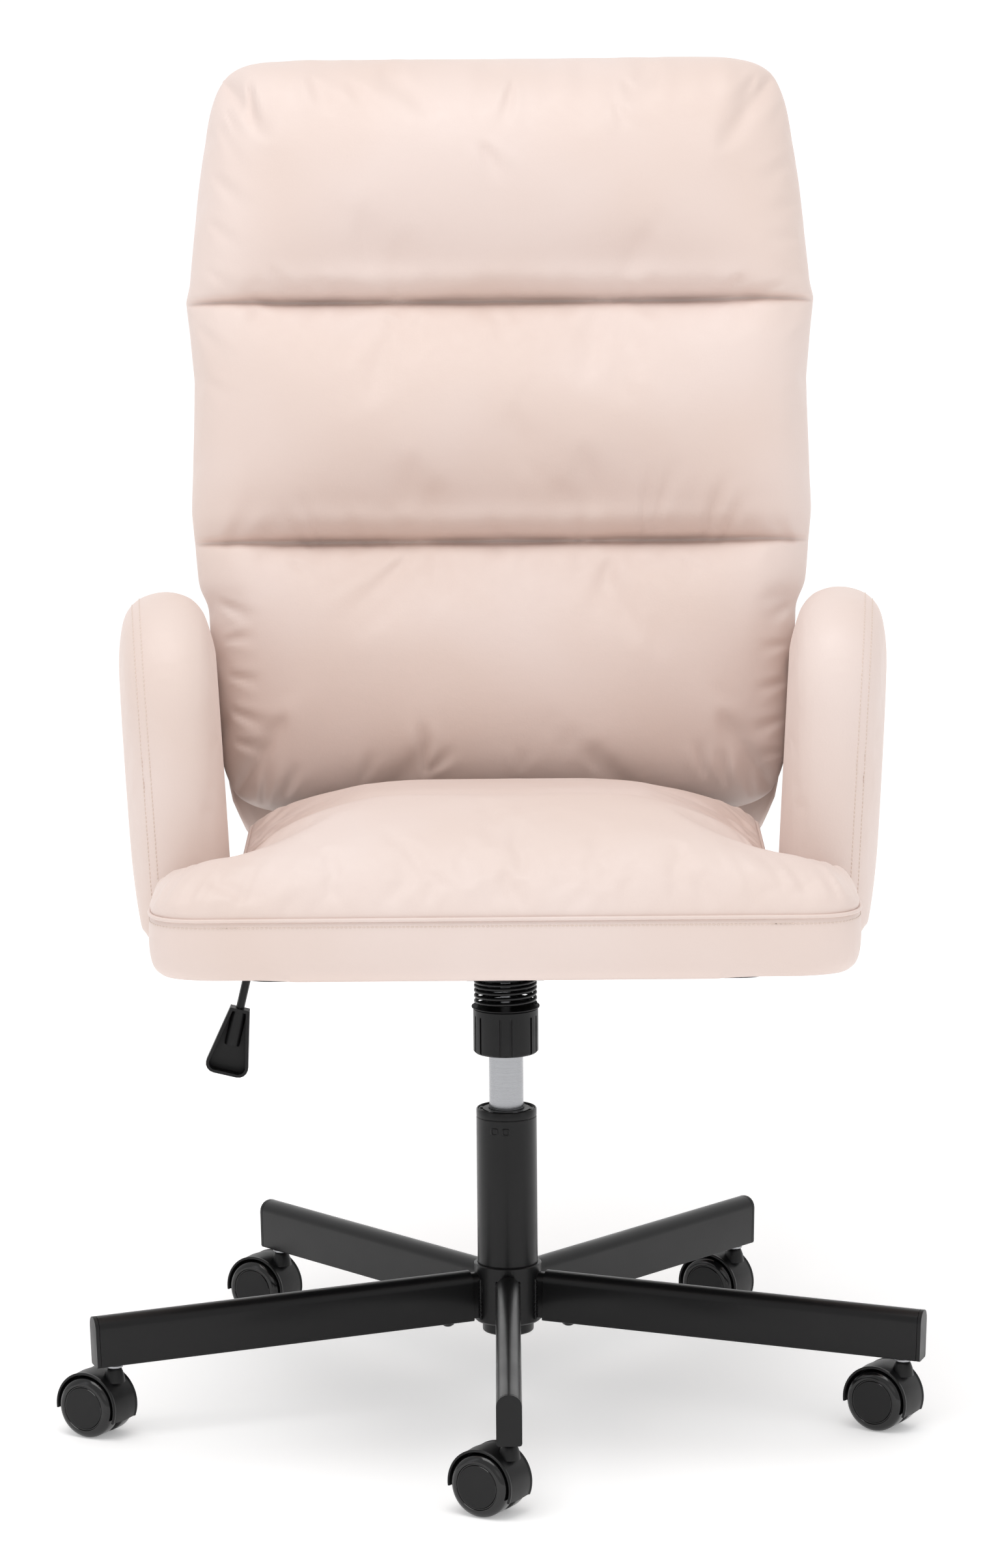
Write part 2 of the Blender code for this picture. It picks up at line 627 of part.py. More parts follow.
# ---------------------------------------------------------------- column and gas lift
def make_column():
    """Outer tube with a rolled rim, a groove under it and a narrower foot."""
    inner = COLUMN_RADIUS - COLUMN_WALL
    rim, groove = COLUMN_RIM, COLUMN_TOP - GROOVE_BELOW_TOP
    shoulder = HUB_BOTTOM + HUB_SEAT_HEIGHT + GAP
    foot_top = shoulder + COLUMN_RADIUS - COLUMN_FOOT_RADIUS
    floor = COLUMN_FLOOR + COLUMN_FLOOR_THICKNESS
    bore = ROD_RADIUS + RUNNING
    profile = [(inner, COLUMN_TOP - rim / 2), (inner + COLUMN_WALL / 2, COLUMN_TOP),
               (COLUMN_RADIUS, COLUMN_TOP - rim), (COLUMN_RADIUS, groove + GROOVE_DEPTH),
               (COLUMN_RADIUS - GROOVE_DEPTH, groove), (COLUMN_RADIUS, groove - GROOVE_DEPTH),
               (COLUMN_RADIUS, foot_top), (COLUMN_FOOT_RADIUS, shoulder),
               (COLUMN_FOOT_RADIUS, COLUMN_FLOOR + rim), (COLUMN_FOOT_RADIUS - rim, COLUMN_FLOOR),
               (bore, COLUMN_FLOOR), (bore, floor), (inner - COLUMN_FLOOR_FILLET, floor),
               (inner, foot_top + COLUMN_WALL)]
    turned("column_tube", profile, BLACK_STEEL, 32, ring=True)


def make_bush():
    """Plastic guide bush in the column's mouth."""
    outer, inner = COLUMN_RADIUS - COLUMN_WALL - GAP, CYLINDER_RADIUS + RUNNING
    top = COLUMN_TOP - BUSH_BELOW_RIM
    low = top - BUSH_LENGTH
    turned("column_bush", [(inner, top), (outer, top), (outer, low), (inner, low)],
           BLACK_NYLON, 32, ring=True)


def make_gas_spring():
    """Bright cylinder that slides in the bush, the rod inside it and the release button."""
    release = BUTTON_RADIUS + RUNNING
    chamfer = CYLINDER_CHAMFER
    turned("gas_cylinder",
           [(release, CYLINDER_TOP), (CYLINDER_RADIUS - chamfer, CYLINDER_TOP),
            (CYLINDER_RADIUS, CYLINDER_TOP - chamfer), (CYLINDER_RADIUS, CYLINDER_BOTTOM + chamfer),
            (CYLINDER_RADIUS - chamfer, CYLINDER_BOTTOM), (CYLINDER_BORE, CYLINDER_BOTTOM),
            (CYLINDER_BORE, CYLINDER_TOP - BUTTON_DEPTH), (release, CYLINDER_TOP - BUTTON_DEPTH)],
           BRIGHT_STEEL, 32, ring=True)
    flange_low = COLUMN_FLOOR + COLUMN_FLOOR_THICKNESS + GAP
    flange_top = flange_low + ROD_FLANGE_HEIGHT
    turned("piston_rod",
           [(0, ROD_TOP), (ROD_RADIUS, ROD_TOP), (ROD_RADIUS, flange_top),
            (ROD_FLANGE_RADIUS, flange_top), (ROD_FLANGE_RADIUS, flange_low),
            (ROD_RADIUS, flange_low), (ROD_RADIUS, COLUMN_FLOOR), (0, COLUMN_FLOOR)],
           BRIGHT_STEEL, 16)
    head_low = BUTTON_TOP - BUTTON_HEAD_HEIGHT
    foot = CYLINDER_TOP - BUTTON_DEPTH + BUTTON_TRAVEL
    turned("release_button",
           [(0, BUTTON_TOP), (BUTTON_HEAD_RADIUS, BUTTON_TOP), (BUTTON_HEAD_RADIUS, head_low),
            (BUTTON_RADIUS, head_low), (BUTTON_RADIUS, foot), (0, foot)],
           BRIGHT_STEEL, 12)


# ---------------------------------------------------------------- tilt mechanism
def make_housing():
    """Lower housing: narrow column socket, spring cup, pivot bore and the lever's notched ear."""
    bend = HOUSING_BEND
    outline = [(HOUSING_FRONT, HOUSING_BOTTOM_AT_SPRING),
               (PIVOT_Y - 2 * bend, HOUSING_BOTTOM_AT_SPRING),
               (PIVOT_Y - bend, HOUSING_BOTTOM_AT_COLUMN),
               (HOUSING_REAR, HOUSING_BOTTOM_AT_COLUMN),
               (HOUSING_REAR, HOUSING_TOP_AT_COLUMN),
               (PIVOT_Y + 3 * bend / 2, HOUSING_TOP_AT_COLUMN),
               (PIVOT_Y + bend / 2, HOUSING_TOP_AT_SPRING),
               (HOUSING_FRONT, HOUSING_TOP_AT_SPRING)]
    housing = prism("mechanism_housing", [outline], 2 * HOUSING_HALF_WIDTH, ACROSS_X, BLACK_STEEL)
    far = HOUSING_OVERRUN
    combine(housing, rod_mesh("cylinder_socket", (0, 0, HOUSING_BOTTOM_AT_COLUMN - far),
                              (0, 0, HOUSING_TOP_AT_COLUMN + far), CYLINDER_RADIUS + GAP, 32),
            "DIFFERENCE")
    combine(housing, rod_mesh("spring_cup", (0, SPRING_Y, HOUSING_BOTTOM_AT_SPRING - far),
                              (0, SPRING_Y, CUP_ROOF_Z), SPRING_RADIUS + SPRING_CUP_PLAY, 32),
            "DIFFERENCE")
    shelf = HOUSING_TOP_AT_COLUMN - SHELF_THICKNESS
    for side in (-1, 1):
        low, high = sorted((side * SOCKET_HALF_WIDTH, side * (HOUSING_HALF_WIDTH + far)))
        combine(housing, box_mesh(f"side_cut_{side:+d}",
                                  (low, HOUSING_FRONT - far, HOUSING_BOTTOM_AT_COLUMN - far),
                                  (high, HOUSING_REAR + far, shelf)), "DIFFERENCE")
    reach = TENSION_BOLT_RADIUS + BOLT_SLOT_PLAY
    swing = (CUP_ROOF_Z - PIVOT_Z + far) * math.sin(math.radians(TILT_LIMIT))
    combine(housing, box_mesh("bolt_slot", (-reach, SPRING_Y - reach, CUP_ROOF_Z - far / 4),
                              (reach, SPRING_Y + reach + swing, HOUSING_TOP_AT_SPRING + far)),
            "DIFFERENCE")
    half = HOUSING_HALF_WIDTH
    combine(housing, rod_mesh("pin_bore", (-2 * half, PIVOT_Y, PIVOT_Z), (2 * half, PIVOT_Y, PIVOT_Z),
                              PIN_RADIUS + RUNNING, 16), "DIFFERENCE")
    combine(housing, box_mesh("lever_ear", (-half, -EAR_HALF_LENGTH, HOUSING_TOP_AT_COLUMN - GAP),
                              (-half + EAR_THICKNESS, EAR_HALF_LENGTH, EAR_TOP)), "UNION")
    notch = LEVER_RADIUS + 2 * RUNNING
    combine(housing, box_mesh("lever_notch", (-half - far, -notch, lever_height() - notch),
                              (-half + far, notch, EAR_TOP + far)), "DIFFERENCE")
    bake(housing)


def lever_height():
    """Height of the lever's rod over the release button."""
    return BUTTON_TOP + GAP + LEVER_RADIUS


def make_seat_plate():
    """Upper plate with two flanges that straddle the housing at the pivot."""
    plate = add("seat_plate", box_mesh("seat_plate", (-PLATE_HALF_WIDTH, PLATE_FRONT, PLATE_UNDERSIDE),
                                       (PLATE_HALF_WIDTH, PLATE_REAR, PLATE_TOP)), BLACK_STEEL)
    inner = HOUSING_HALF_WIDTH + FLANGE_PLAY
    outer = inner + FLANGE_THICKNESS
    for side in (-1, 1):
        low, high = sorted((side * inner, side * outer))
        combine(plate, box_mesh(f"flange_{side:+d}",
                                (low, PIVOT_Y - FLANGE_HALF_LENGTH, PIVOT_Z - FLANGE_BELOW_PIN),
                                (high, PIVOT_Y + FLANGE_HALF_LENGTH / 2, PLATE_UNDERSIDE + GAP)),
                "UNION")
    combine(plate, rod_mesh("flange_bore", (-2 * outer, PIVOT_Y, PIVOT_Z), (2 * outer, PIVOT_Y, PIVOT_Z),
                            PIN_RADIUS + RUNNING, 16), "DIFFERENCE")
    bake(plate)


def make_pivot_pin():
    reach = HOUSING_HALF_WIDTH + FLANGE_PLAY + FLANGE_THICKNESS + PIN_RADIUS
    mesh = rod_mesh("tilt_pin", (-reach, PIVOT_Y, PIVOT_Z), (reach, PIVOT_Y, PIVOT_Z), PIN_RADIUS, 16)
    smooth(mesh)
    add("tilt_pin", mesh, BRIGHT_STEEL)


def make_tension_gear():
    """Tension bolt under the plate, the spring on it, the washer and the slotted knob."""
    place = Matrix.Translation((0, SPRING_Y, 0))
    head_top = PLATE_UNDERSIDE - GAP
    head_low = head_top - TENSION_BOLT_HEAD_HEIGHT
    foot = KNOB_TOP - TENSION_BOLT_DEPTH_IN_KNOB
    turned("tension_bolt",
           [(0, head_top), (TENSION_BOLT_HEAD_RADIUS, head_top), (TENSION_BOLT_HEAD_RADIUS, head_low),
            (TENSION_BOLT_RADIUS, head_low), (TENSION_BOLT_RADIUS, foot), (0, foot)],
           BRIGHT_STEEL, 16, place)
    bore = TENSION_BOLT_RADIUS + RUNNING
    turned("spring_washer",
           [(bore, WASHER_Z + WASHER_THICKNESS), (WASHER_RADIUS, WASHER_Z + WASHER_THICKNESS),
            (WASHER_RADIUS, WASHER_Z), (bore, WASHER_Z)],
           BLACK_STEEL, 32, place, ring=True)
    low = KNOB_TOP - KNOB_HEIGHT
    crown, chamfer = KNOB_CROWN, KNOB_CHAMFER
    bore_floor = foot - 2 * GAP
    knob = turned("tension_knob",
                  [(bore, KNOB_TOP), (KNOB_RADIUS - chamfer / 2, KNOB_TOP),
                   (KNOB_RADIUS, KNOB_TOP - chamfer / 2), (KNOB_RADIUS, low + crown + chamfer),
                   (KNOB_RADIUS - chamfer, low + crown), (KNOB_RADIUS / 2, low + crown / 4), (0, low),
                   (0, bore_floor), (bore, bore_floor)],
                  BLACK_NYLON, 48, place, ring=True)
    weld(knob.data)
    for pair in range(KNOB_SLOT_PAIRS):
        for side in (-1, 1):
            turn = around(pair * 360 / KNOB_SLOT_PAIRS + side * KNOB_SLOT_SPREAD)
            half, slot_top = KNOB_SLOT_WIDTH / 2, KNOB_TOP - KNOB_SLOT_BELOW_TOP
            slot = box_mesh(f"knob_slot_{pair}_{side:+d}",
                            (-half, -KNOB_RADIUS * 2, low - DRILL_OVERRUN),
                            (half, -KNOB_RADIUS + KNOB_SLOT_DEPTH, slot_top))
            combine(knob, slot, "DIFFERENCE", place @ turn)
    bake(knob)
    make_spring()


def make_spring():
    """Coil spring between the washer and the roof of the housing's cup."""
    radius = SPRING_RADIUS - SPRING_WIRE / 2
    rise = SPRING_TOP - SPRING_BOTTOM - SPRING_WIRE
    count = round(SPRING_COILS * SPRING_POINTS_PER_COIL)
    points = []
    for i in range(count + 1):
        share = i / count
        turn = 2 * math.pi * SPRING_COILS * share
        points.append((radius * math.cos(turn), SPRING_Y + radius * math.sin(turn),
                       SPRING_BOTTOM + SPRING_WIRE / 2 + rise * share))
    wire("tension_spring", points, SPRING_WIRE / 2, DARK_SPRING)


# ---------------------------------------------------------------- height lever
def lever_direction():
    """Unit vector down the lever's grip."""
    lean = math.radians(LEVER_LEAN)
    return Vector((-math.sin(lean), 0, -math.cos(lean)))


def make_lever_rod():
    """Bent rod from over the release button, out to the side and down to the grip."""
    height = lever_height()
    elbow = Vector((LEVER_ELBOW[0], 0, LEVER_ELBOW[1]))
    start = Vector((LEVER_INNER_END, 0, height))
    level_end = Vector((-HOUSING_HALF_WIDTH - 2 * LEVER_RADIUS, 0, height))
    arm = (elbow - level_end).normalized()
    down = lever_direction()
    bend = [elbow - arm * LEVER_ELBOW_RADIUS * (1 - t) ** 2 + down * LEVER_ELBOW_RADIUS * t ** 2
            for t in (0.0, 0.25, 0.5, 0.75, 1.0)]
    end = elbow + down * (elbow.z - LEVER_ROD_END_Z) / -down.z
    wire("lever_rod", [start, level_end, *bend, end], LEVER_RADIUS, BLACK_STEEL)


def make_lever_paddle():
    """Hollow grip, open at the front, with a socket boss for the rod."""
    top, foot, length = PADDLE_TOP_WIDTH / 2, PADDLE_FOOT_WIDTH / 2, PADDLE_LENGTH
    radius = PADDLE_FOOT_RADIUS

    def outline(inset):
        low = -length + inset
        side, bottom = top - inset, foot - inset
        corner = radius - inset
        return [(side, -inset), (-side, -inset),
                *arc((-bottom + corner, low + corner), corner, 180, 270, 4),
                *arc((bottom - corner, low + corner), corner, 270, 360, 4)]

    down = lever_direction()
    elbow = Vector((LEVER_ELBOW[0], 0, LEVER_ELBOW[1]))
    top_point = elbow + down * (elbow.z - PADDLE_TOP_Z) / -down.z
    lean = Matrix.Rotation(math.radians(LEVER_LEAN), 4, "Y")
    frame = Matrix.Translation(top_point) @ lean @ ACROSS_Y
    paddle = prism("lever_paddle", [outline(0)], PADDLE_DEPTH, frame, BLACK_NYLON)
    hollow = prism("paddle_hollow", [outline(PADDLE_WALL)], PADDLE_DEPTH,
                   frame @ Matrix.Translation((0, 0, PADDLE_WALL)), None, CUTTERS)
    combine(paddle, hollow, "DIFFERENCE")
    start = top_point + down * PADDLE_WALL / 2
    combine(paddle, rod_mesh("paddle_boss", start, start + down * PADDLE_BOSS_LENGTH,
                             PADDLE_BOSS_RADIUS, 16), "UNION")
    socket_end = elbow + down * ((elbow.z - LEVER_ROD_END_Z) / -down.z + GAP)
    combine(paddle, rod_mesh("paddle_socket", top_point - down * DRILL_OVERRUN, socket_end,
                             LEVER_RADIUS + GAP, 12), "DIFFERENCE")
    bake(paddle)


# ---------------------------------------------------------------- shell, cushions and arms
def back_frame():
    """The reclined back's frame: x across, y up the back, z forwards out of the panel."""
    lean = Matrix.Rotation(math.radians(-RECLINE), 4, "X")
    foot = Matrix.Translation((0, BACK_PANEL_FRONT_Y, BOARD_TOP))
    return foot @ lean @ ACROSS_Y


def along_back(height, forward=0.0):
    """Distance up the back's frame to a height, for a point forward of the panel's face."""
    return (height - BOARD_TOP - forward * BACK_SIN) / BACK_COS


def arm_inner_face(height, y=ARM_FRONT):
    """Half the clear width between the arms at a height and a distance back."""
    lean, toe = math.radians(ARM_LEAN), math.radians(ARM_TOE)
    outer = ARM_OUTER_AT_BOTTOM + (height - ARM_BOTTOM) * math.tan(lean)
    thickness = ARM_THICKNESS / math.cos(lean) / math.cos(toe)
    return outer - thickness + (y - ARM_FRONT) * math.tan(toe)


def arm_top_line(y):
    """Height of the arms' falling top at a distance back."""
    fall, radius = math.radians(ARM_FALL), ARM_FRONT_RADIUS
    start_y = ARM_FRONT + radius + radius * math.sin(fall)
    start_z = ARM_TOP - radius + radius * math.cos(fall)
    return start_z - (y - start_y) * math.tan(fall)


def back_outline(low, high, inset):
    """Front view of the back: between the arms below, full width above, round at the top."""
    behind = -BACK_PANEL_THICKNESS
    front_y = BACK_PANEL_FRONT_Y - BACK_CUSHION_DEPTH
    arm_top = arm_top_line(front_y)
    over_arms = along_back(arm_top, behind) + BACK_OVER_ARMS
    neck = along_back(arm_top - ARM_EDGE, behind)
    clear = ARM_TO_CUSHION + inset / 4
    waist_half = arm_inner_face(ARM_BOTTOM, front_y) - clear
    neck_half = arm_inner_face(arm_top - ARM_EDGE, front_y) - clear
    shoulder, head = BACK_SHOULDER_HALF - inset, BACK_HEAD_HALF - inset
    radius = BACK_CORNER_RADIUS
    right = [(waist_half, low), (neck_half, neck), (shoulder, over_arms),
             (shoulder, (over_arms + high) / 2), *arc((head - radius, high - radius), radius, 0, 90, 5)]
    return right + [(-x, y) for x, y in reversed(right)]


def make_shell():
    """Seat board and back panel, one bent shell that carries the cushions and arms."""
    board = add("shell", box_mesh("shell", (-BOARD_HALF_WIDTH, BOARD_FRONT, BOARD_UNDERSIDE),
                                  (BOARD_HALF_WIDTH, BACK_PANEL_FRONT_Y + BACK_PANEL_THICKNESS / 2,
                                   BOARD_TOP)), PLYWOOD)
    foot = along_back(BOARD_UNDERSIDE, -BACK_PANEL_THICKNESS)
    panel = prism("back_panel", [back_outline(foot, along_back(BACK_PANEL_TOP), BACK_PANEL_INSET)],
                  BACK_PANEL_THICKNESS,
                  back_frame() @ Matrix.Translation((0, 0, -BACK_PANEL_THICKNESS / 2)), None, CUTTERS)
    combine(board, panel, "UNION")
    bake(board)


def make_back_cushion():
    """One pillow in front of the panel; its channels are worked in the cover."""
    depth = BACK_CUSHION_DEPTH
    outline = back_outline(along_back(BACK_BOTTOM), along_back(BACK_TOP, depth), 0.0)
    bake(prism("back_cushion", [outline], depth,
               back_frame() @ Matrix.Translation((0, 0, depth / 2 + GAP)), UPHOLSTERY,
               rounding=BACK_CUSHION_EDGE))


def make_seat_cushion():
    """T-shaped seat: full width in front of the arms, narrower between them."""
    ear, front, rear = SEAT_EAR_HALF, SEAT_FRONT, SEAT_REAR
    waist = arm_inner_face(ARM_BOTTOM) - ARM_TO_CUSHION
    radius = SEAT_CORNER_RADIUS
    right = [*arc((ear - radius, front + radius), radius, -90, 0, 4), (ear, SEAT_EAR_REAR),
             (waist, SEAT_EAR_REAR), (waist, rear)]
    outline = right + [(-x, y) for x, y in reversed(right)]
    bake(prism("seat_cushion", [outline], SEAT_TOP - SEAT_BOTTOM,
               Matrix.Translation((0, 0, (SEAT_TOP + SEAT_BOTTOM) / 2)), UPHOLSTERY,
               rounding=SEAT_EDGE))


def make_arms():
    """Upholstered arm panels with round, falling tops that run back to the shell's rear face."""
    rear_offset = BACK_PANEL_THICKNESS / BACK_COS

    def rear_at(height):
        return BACK_PANEL_FRONT_Y + (height - BOARD_TOP) * BACK_SIN / BACK_COS + rear_offset

    radius, fall = ARM_FRONT_RADIUS, math.tan(math.radians(ARM_FALL))
    lean_back = BACK_SIN / BACK_COS
    level = arm_top_line(rear_at(BOARD_TOP))
    rear_top = BOARD_TOP + (level - BOARD_TOP) / (1 + fall * lean_back)
    outline = [(ARM_FRONT, ARM_BOTTOM), (rear_at(ARM_BOTTOM), ARM_BOTTOM), (rear_at(rear_top), rear_top),
               *arc((ARM_FRONT + radius, ARM_TOP - radius), radius, 90 - ARM_FALL, 180, 5)]
    for name, side in (("arm_left", -1), ("arm_right", 1)):
        lean = Matrix.Rotation(side * math.radians(ARM_LEAN), 4, "Y")
        outer = Matrix.Translation((side * ARM_OUTER_AT_BOTTOM, 0, ARM_BOTTOM))
        inward = Matrix.Translation((-side * ARM_THICKNESS / 2, 0, -ARM_BOTTOM))
        front = Matrix.Translation((0, ARM_FRONT, 0))
        toe = front @ Matrix.Rotation(-side * math.radians(ARM_TOE), 4, "Z") @ front.inverted()
        bake(prism(name, [outline], ARM_THICKNESS, outer @ toe @ lean @ inward @ ACROSS_X, UPHOLSTERY,
                   rounding=ARM_EDGE))


def build():
    make_hub()
    make_legs()
    make_leg_caps()
    make_leg_bolts()
    make_stems()
    make_hoods()
    make_axles()
    make_wheels()
    make_column()
    make_bush()
    make_gas_spring()
    make_housing()
    make_seat_plate()
    make_pivot_pin()
    make_tension_gear()
    make_lever_rod()
    make_lever_paddle()
    make_shell()
    make_seat_cushion()
    make_back_cushion()
    make_arms()


build()
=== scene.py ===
"""High-back swivel office chair, dressed: padded faux-leather back, seat and arms with their
seams and stitching, moulded casters and workshop finishes, on a pale studio floor.

Metres, +Z up, -Y is the front of the seat.
"""
import json
import logging
import math
from dataclasses import dataclass
from enum import Enum
from typing import Any, Iterable, Sequence

import bmesh
import bpy
import numpy as np
from mathutils import Matrix, Vector
from mathutils.bvhtree import BVHTree


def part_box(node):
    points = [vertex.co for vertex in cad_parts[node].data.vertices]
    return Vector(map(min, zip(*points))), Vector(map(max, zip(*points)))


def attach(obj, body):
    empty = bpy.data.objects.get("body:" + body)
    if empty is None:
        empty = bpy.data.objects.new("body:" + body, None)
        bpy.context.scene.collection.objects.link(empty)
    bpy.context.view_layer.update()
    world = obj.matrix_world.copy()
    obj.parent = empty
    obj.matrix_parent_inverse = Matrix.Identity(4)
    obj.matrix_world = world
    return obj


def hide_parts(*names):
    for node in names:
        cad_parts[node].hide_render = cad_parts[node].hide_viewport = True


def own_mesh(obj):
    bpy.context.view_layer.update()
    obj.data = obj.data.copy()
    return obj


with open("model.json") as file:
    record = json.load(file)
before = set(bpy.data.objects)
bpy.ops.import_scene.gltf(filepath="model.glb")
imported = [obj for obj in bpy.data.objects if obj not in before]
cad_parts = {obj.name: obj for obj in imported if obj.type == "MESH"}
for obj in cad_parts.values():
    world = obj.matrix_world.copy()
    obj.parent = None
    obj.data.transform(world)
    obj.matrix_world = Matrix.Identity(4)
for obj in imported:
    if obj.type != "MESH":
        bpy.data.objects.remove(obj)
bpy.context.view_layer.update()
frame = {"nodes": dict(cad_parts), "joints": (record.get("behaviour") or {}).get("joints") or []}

LOG = logging.getLogger("office_chair")
Profile = Sequence[tuple[float, float]]
STITCH_PITCH = 0.0034            # one stitch with its gap
THREAD_RADIUS = 0.00045


class Side(Enum):
    """The two sides of the chair, with the sign of their X."""

    LEFT = -1
    RIGHT = 1


class Slot(Enum):
    """Material slots of the record."""

    STEEL = "black_steel"
    NYLON = "black_nylon"
    TYRE = "caster_tyre"
    BRIGHT = "bright_steel"
    SPRING = "spring_steel"
    BOARD = "shell_board"
    UPHOLSTERY = "upholstery"


# ------------------------------------------------------------------ materials
def linear_colour(code: str) -> tuple[float, float, float, float]:
    """Turn an sRGB hex colour to linear light.

    Args:
        code: the colour, such as "#EDD9CC".

    Returns:
        Red, green, blue and an alpha of one.
    """
    values = [int(code[i:i + 2], 16) / 255 for i in (1, 3, 5)]
    red, green, blue = (v / 12.92 if v <= 0.04045 else ((v + 0.055) / 1.055) ** 2.4
                        for v in values)
    return red, green, blue, 1.0


def add_node(tree: bpy.types.NodeTree, kind: str, sockets: dict[Any, Any] | None = None,
             **settings: Any) -> bpy.types.Node:
    """Add a node with its settings and links.

    Args:
        tree: the node tree it goes in.
        kind: the node's type name.
        sockets: by input name or number, a value or the output that feeds it.
        **settings: the node's own properties.

    Returns:
        The node.
    """
    made = tree.nodes.new(kind)
    for name, value in settings.items():
        setattr(made, name, value)
    for key, value in (sockets or {}).items():
        if isinstance(value, bpy.types.NodeSocket):
            tree.links.new(value, made.inputs[key])
        else:
            made.inputs[key].default_value = value
    return made


def per_metre(millimetres: float) -> float:
    """Texture scale at which one cell of a pattern measures this many millimetres."""
    return 1000.0 / millimetres


@dataclass(frozen=True)
class Finish:
    """A surface finish: what all of them share."""

    name: str
    colour: str
    roughness: float
    metallic: float = 0.0
    ior: float = 1.5

    def build(self) -> bpy.types.Material:
        """Make the material.

        Returns:
            The material, dressed by the finish's own pattern.
        """
        material = bpy.data.materials.new(self.name)
        material.use_nodes = True
        tree = material.node_tree
        shader = tree.nodes["Principled BSDF"]
        shader.inputs["Base Color"].default_value = linear_colour(self.colour)
        shader.inputs["Roughness"].default_value = self.roughness
        shader.inputs["Metallic"].default_value = self.metallic
        shader.inputs["IOR"].default_value = self.ior
        material.diffuse_color = linear_colour(self.colour)
        self.dress(tree, shader, add_node(tree, "ShaderNodeTexCoord").outputs["Object"])
        return material

    def dress(self, tree: bpy.types.NodeTree, shader: bpy.types.Node,
              place: bpy.types.NodeSocket) -> None:
        """Add the finish's pattern; a plain one has none."""


@dataclass(frozen=True)
class FauxLeather(Finish):
    """Polyurethane leather, embossed and matt-lacquered over a knitted backing.

    The lacquer gives a broad, milky sheen; the embossing gives a fine pebble that only
    breaks the highlights up, and the dye varies a little from place to place.
    """

    deep: str = "#DFCCC3"
    pebble: float = 1.5          # mm, drawn a little coarser than the real 0.8
    hide: float = 9.0            # mm, soft unevenness of the foam under the cover
    cloud: float = 160.0         # mm, drift of the dye

    def dress(self, tree: bpy.types.NodeTree, shader: bpy.types.Node,
              place: bpy.types.NodeSocket) -> None:
        """Add dye, lacquer, pebble and sheen."""
        cloud = add_node(tree, "ShaderNodeTexNoise",
                         {"Vector": place, "Scale": per_metre(self.cloud), "Detail": 2.0})
        share = add_node(tree, "ShaderNodeMapRange",
                         {"Value": cloud.outputs["Fac"], "From Min": 0.35, "From Max": 0.65})
        dye = add_node(tree, "ShaderNodeMix",
                       {0: share.outputs["Result"], 6: linear_colour(self.colour),
                        7: linear_colour(self.deep)}, data_type="RGBA")
        tree.links.new(dye.outputs[2], shader.inputs["Base Color"])
        pebble = add_node(tree, "ShaderNodeTexVoronoi",
                          {"Vector": place, "Scale": per_metre(self.pebble), "Randomness": 0.9},
                          feature="SMOOTH_F1")
        hide = add_node(tree, "ShaderNodeTexNoise",
                        {"Vector": place, "Scale": per_metre(self.hide), "Detail": 4.0,
                         "Roughness": 0.55})
        lacquer = add_node(tree, "ShaderNodeMapRange",
                           {"Value": hide.outputs["Fac"], "From Min": 0.3, "From Max": 0.7,
                            "To Min": self.roughness - 0.04, "To Max": self.roughness + 0.06})
        tree.links.new(lacquer.outputs["Result"], shader.inputs["Roughness"])
        soft = add_node(tree, "ShaderNodeBump",
                        {"Height": hide.outputs["Fac"], "Strength": 0.25, "Distance": 0.0006})
        fine = add_node(tree, "ShaderNodeBump",
                        {"Height": pebble.outputs["Distance"], "Strength": 0.35,
                         "Distance": 0.00012, "Normal": soft.outputs["Normal"]}, invert=True)
        tree.links.new(fine.outputs["Normal"], shader.inputs["Normal"])
        shader.inputs["Sheen Weight"].default_value = 0.22
        shader.inputs["Sheen Roughness"].default_value = 0.45
        shader.inputs["Sheen Tint"].default_value = linear_colour("#FFF2EE")


@dataclass(frozen=True)
class PowderCoat(Finish):
    """Polyester powder, sprayed dry and baked on steel.

    It flows out with a faint orange peel, which softens reflections into broad streaks.
    """

    peel: float = 1.8            # mm between the peel's hills

    def dress(self, tree: bpy.types.NodeTree, shader: bpy.types.Node,
              place: bpy.types.NodeSocket) -> None:
        """Add orange peel, dust-fine gloss change and a thin clear skin."""
        peel = add_node(tree, "ShaderNodeTexNoise",
                        {"Vector": place, "Scale": per_metre(self.peel), "Detail": 2.0})
        handled = add_node(tree, "ShaderNodeTexNoise",
                           {"Vector": place, "Scale": per_metre(60), "Detail": 3.0})
        gloss = add_node(tree, "ShaderNodeMapRange",
                         {"Value": handled.outputs["Fac"], "From Min": 0.3, "From Max": 0.7,
                          "To Min": self.roughness - 0.04, "To Max": self.roughness + 0.05})
        tree.links.new(gloss.outputs["Result"], shader.inputs["Roughness"])
        bump = add_node(tree, "ShaderNodeBump",
                        {"Height": peel.outputs["Fac"], "Strength": 0.18, "Distance": 0.00015})
        tree.links.new(bump.outputs["Normal"], shader.inputs["Normal"])
        shader.inputs["Coat Weight"].default_value = 0.05
        shader.inputs["Coat Roughness"].default_value = 0.15


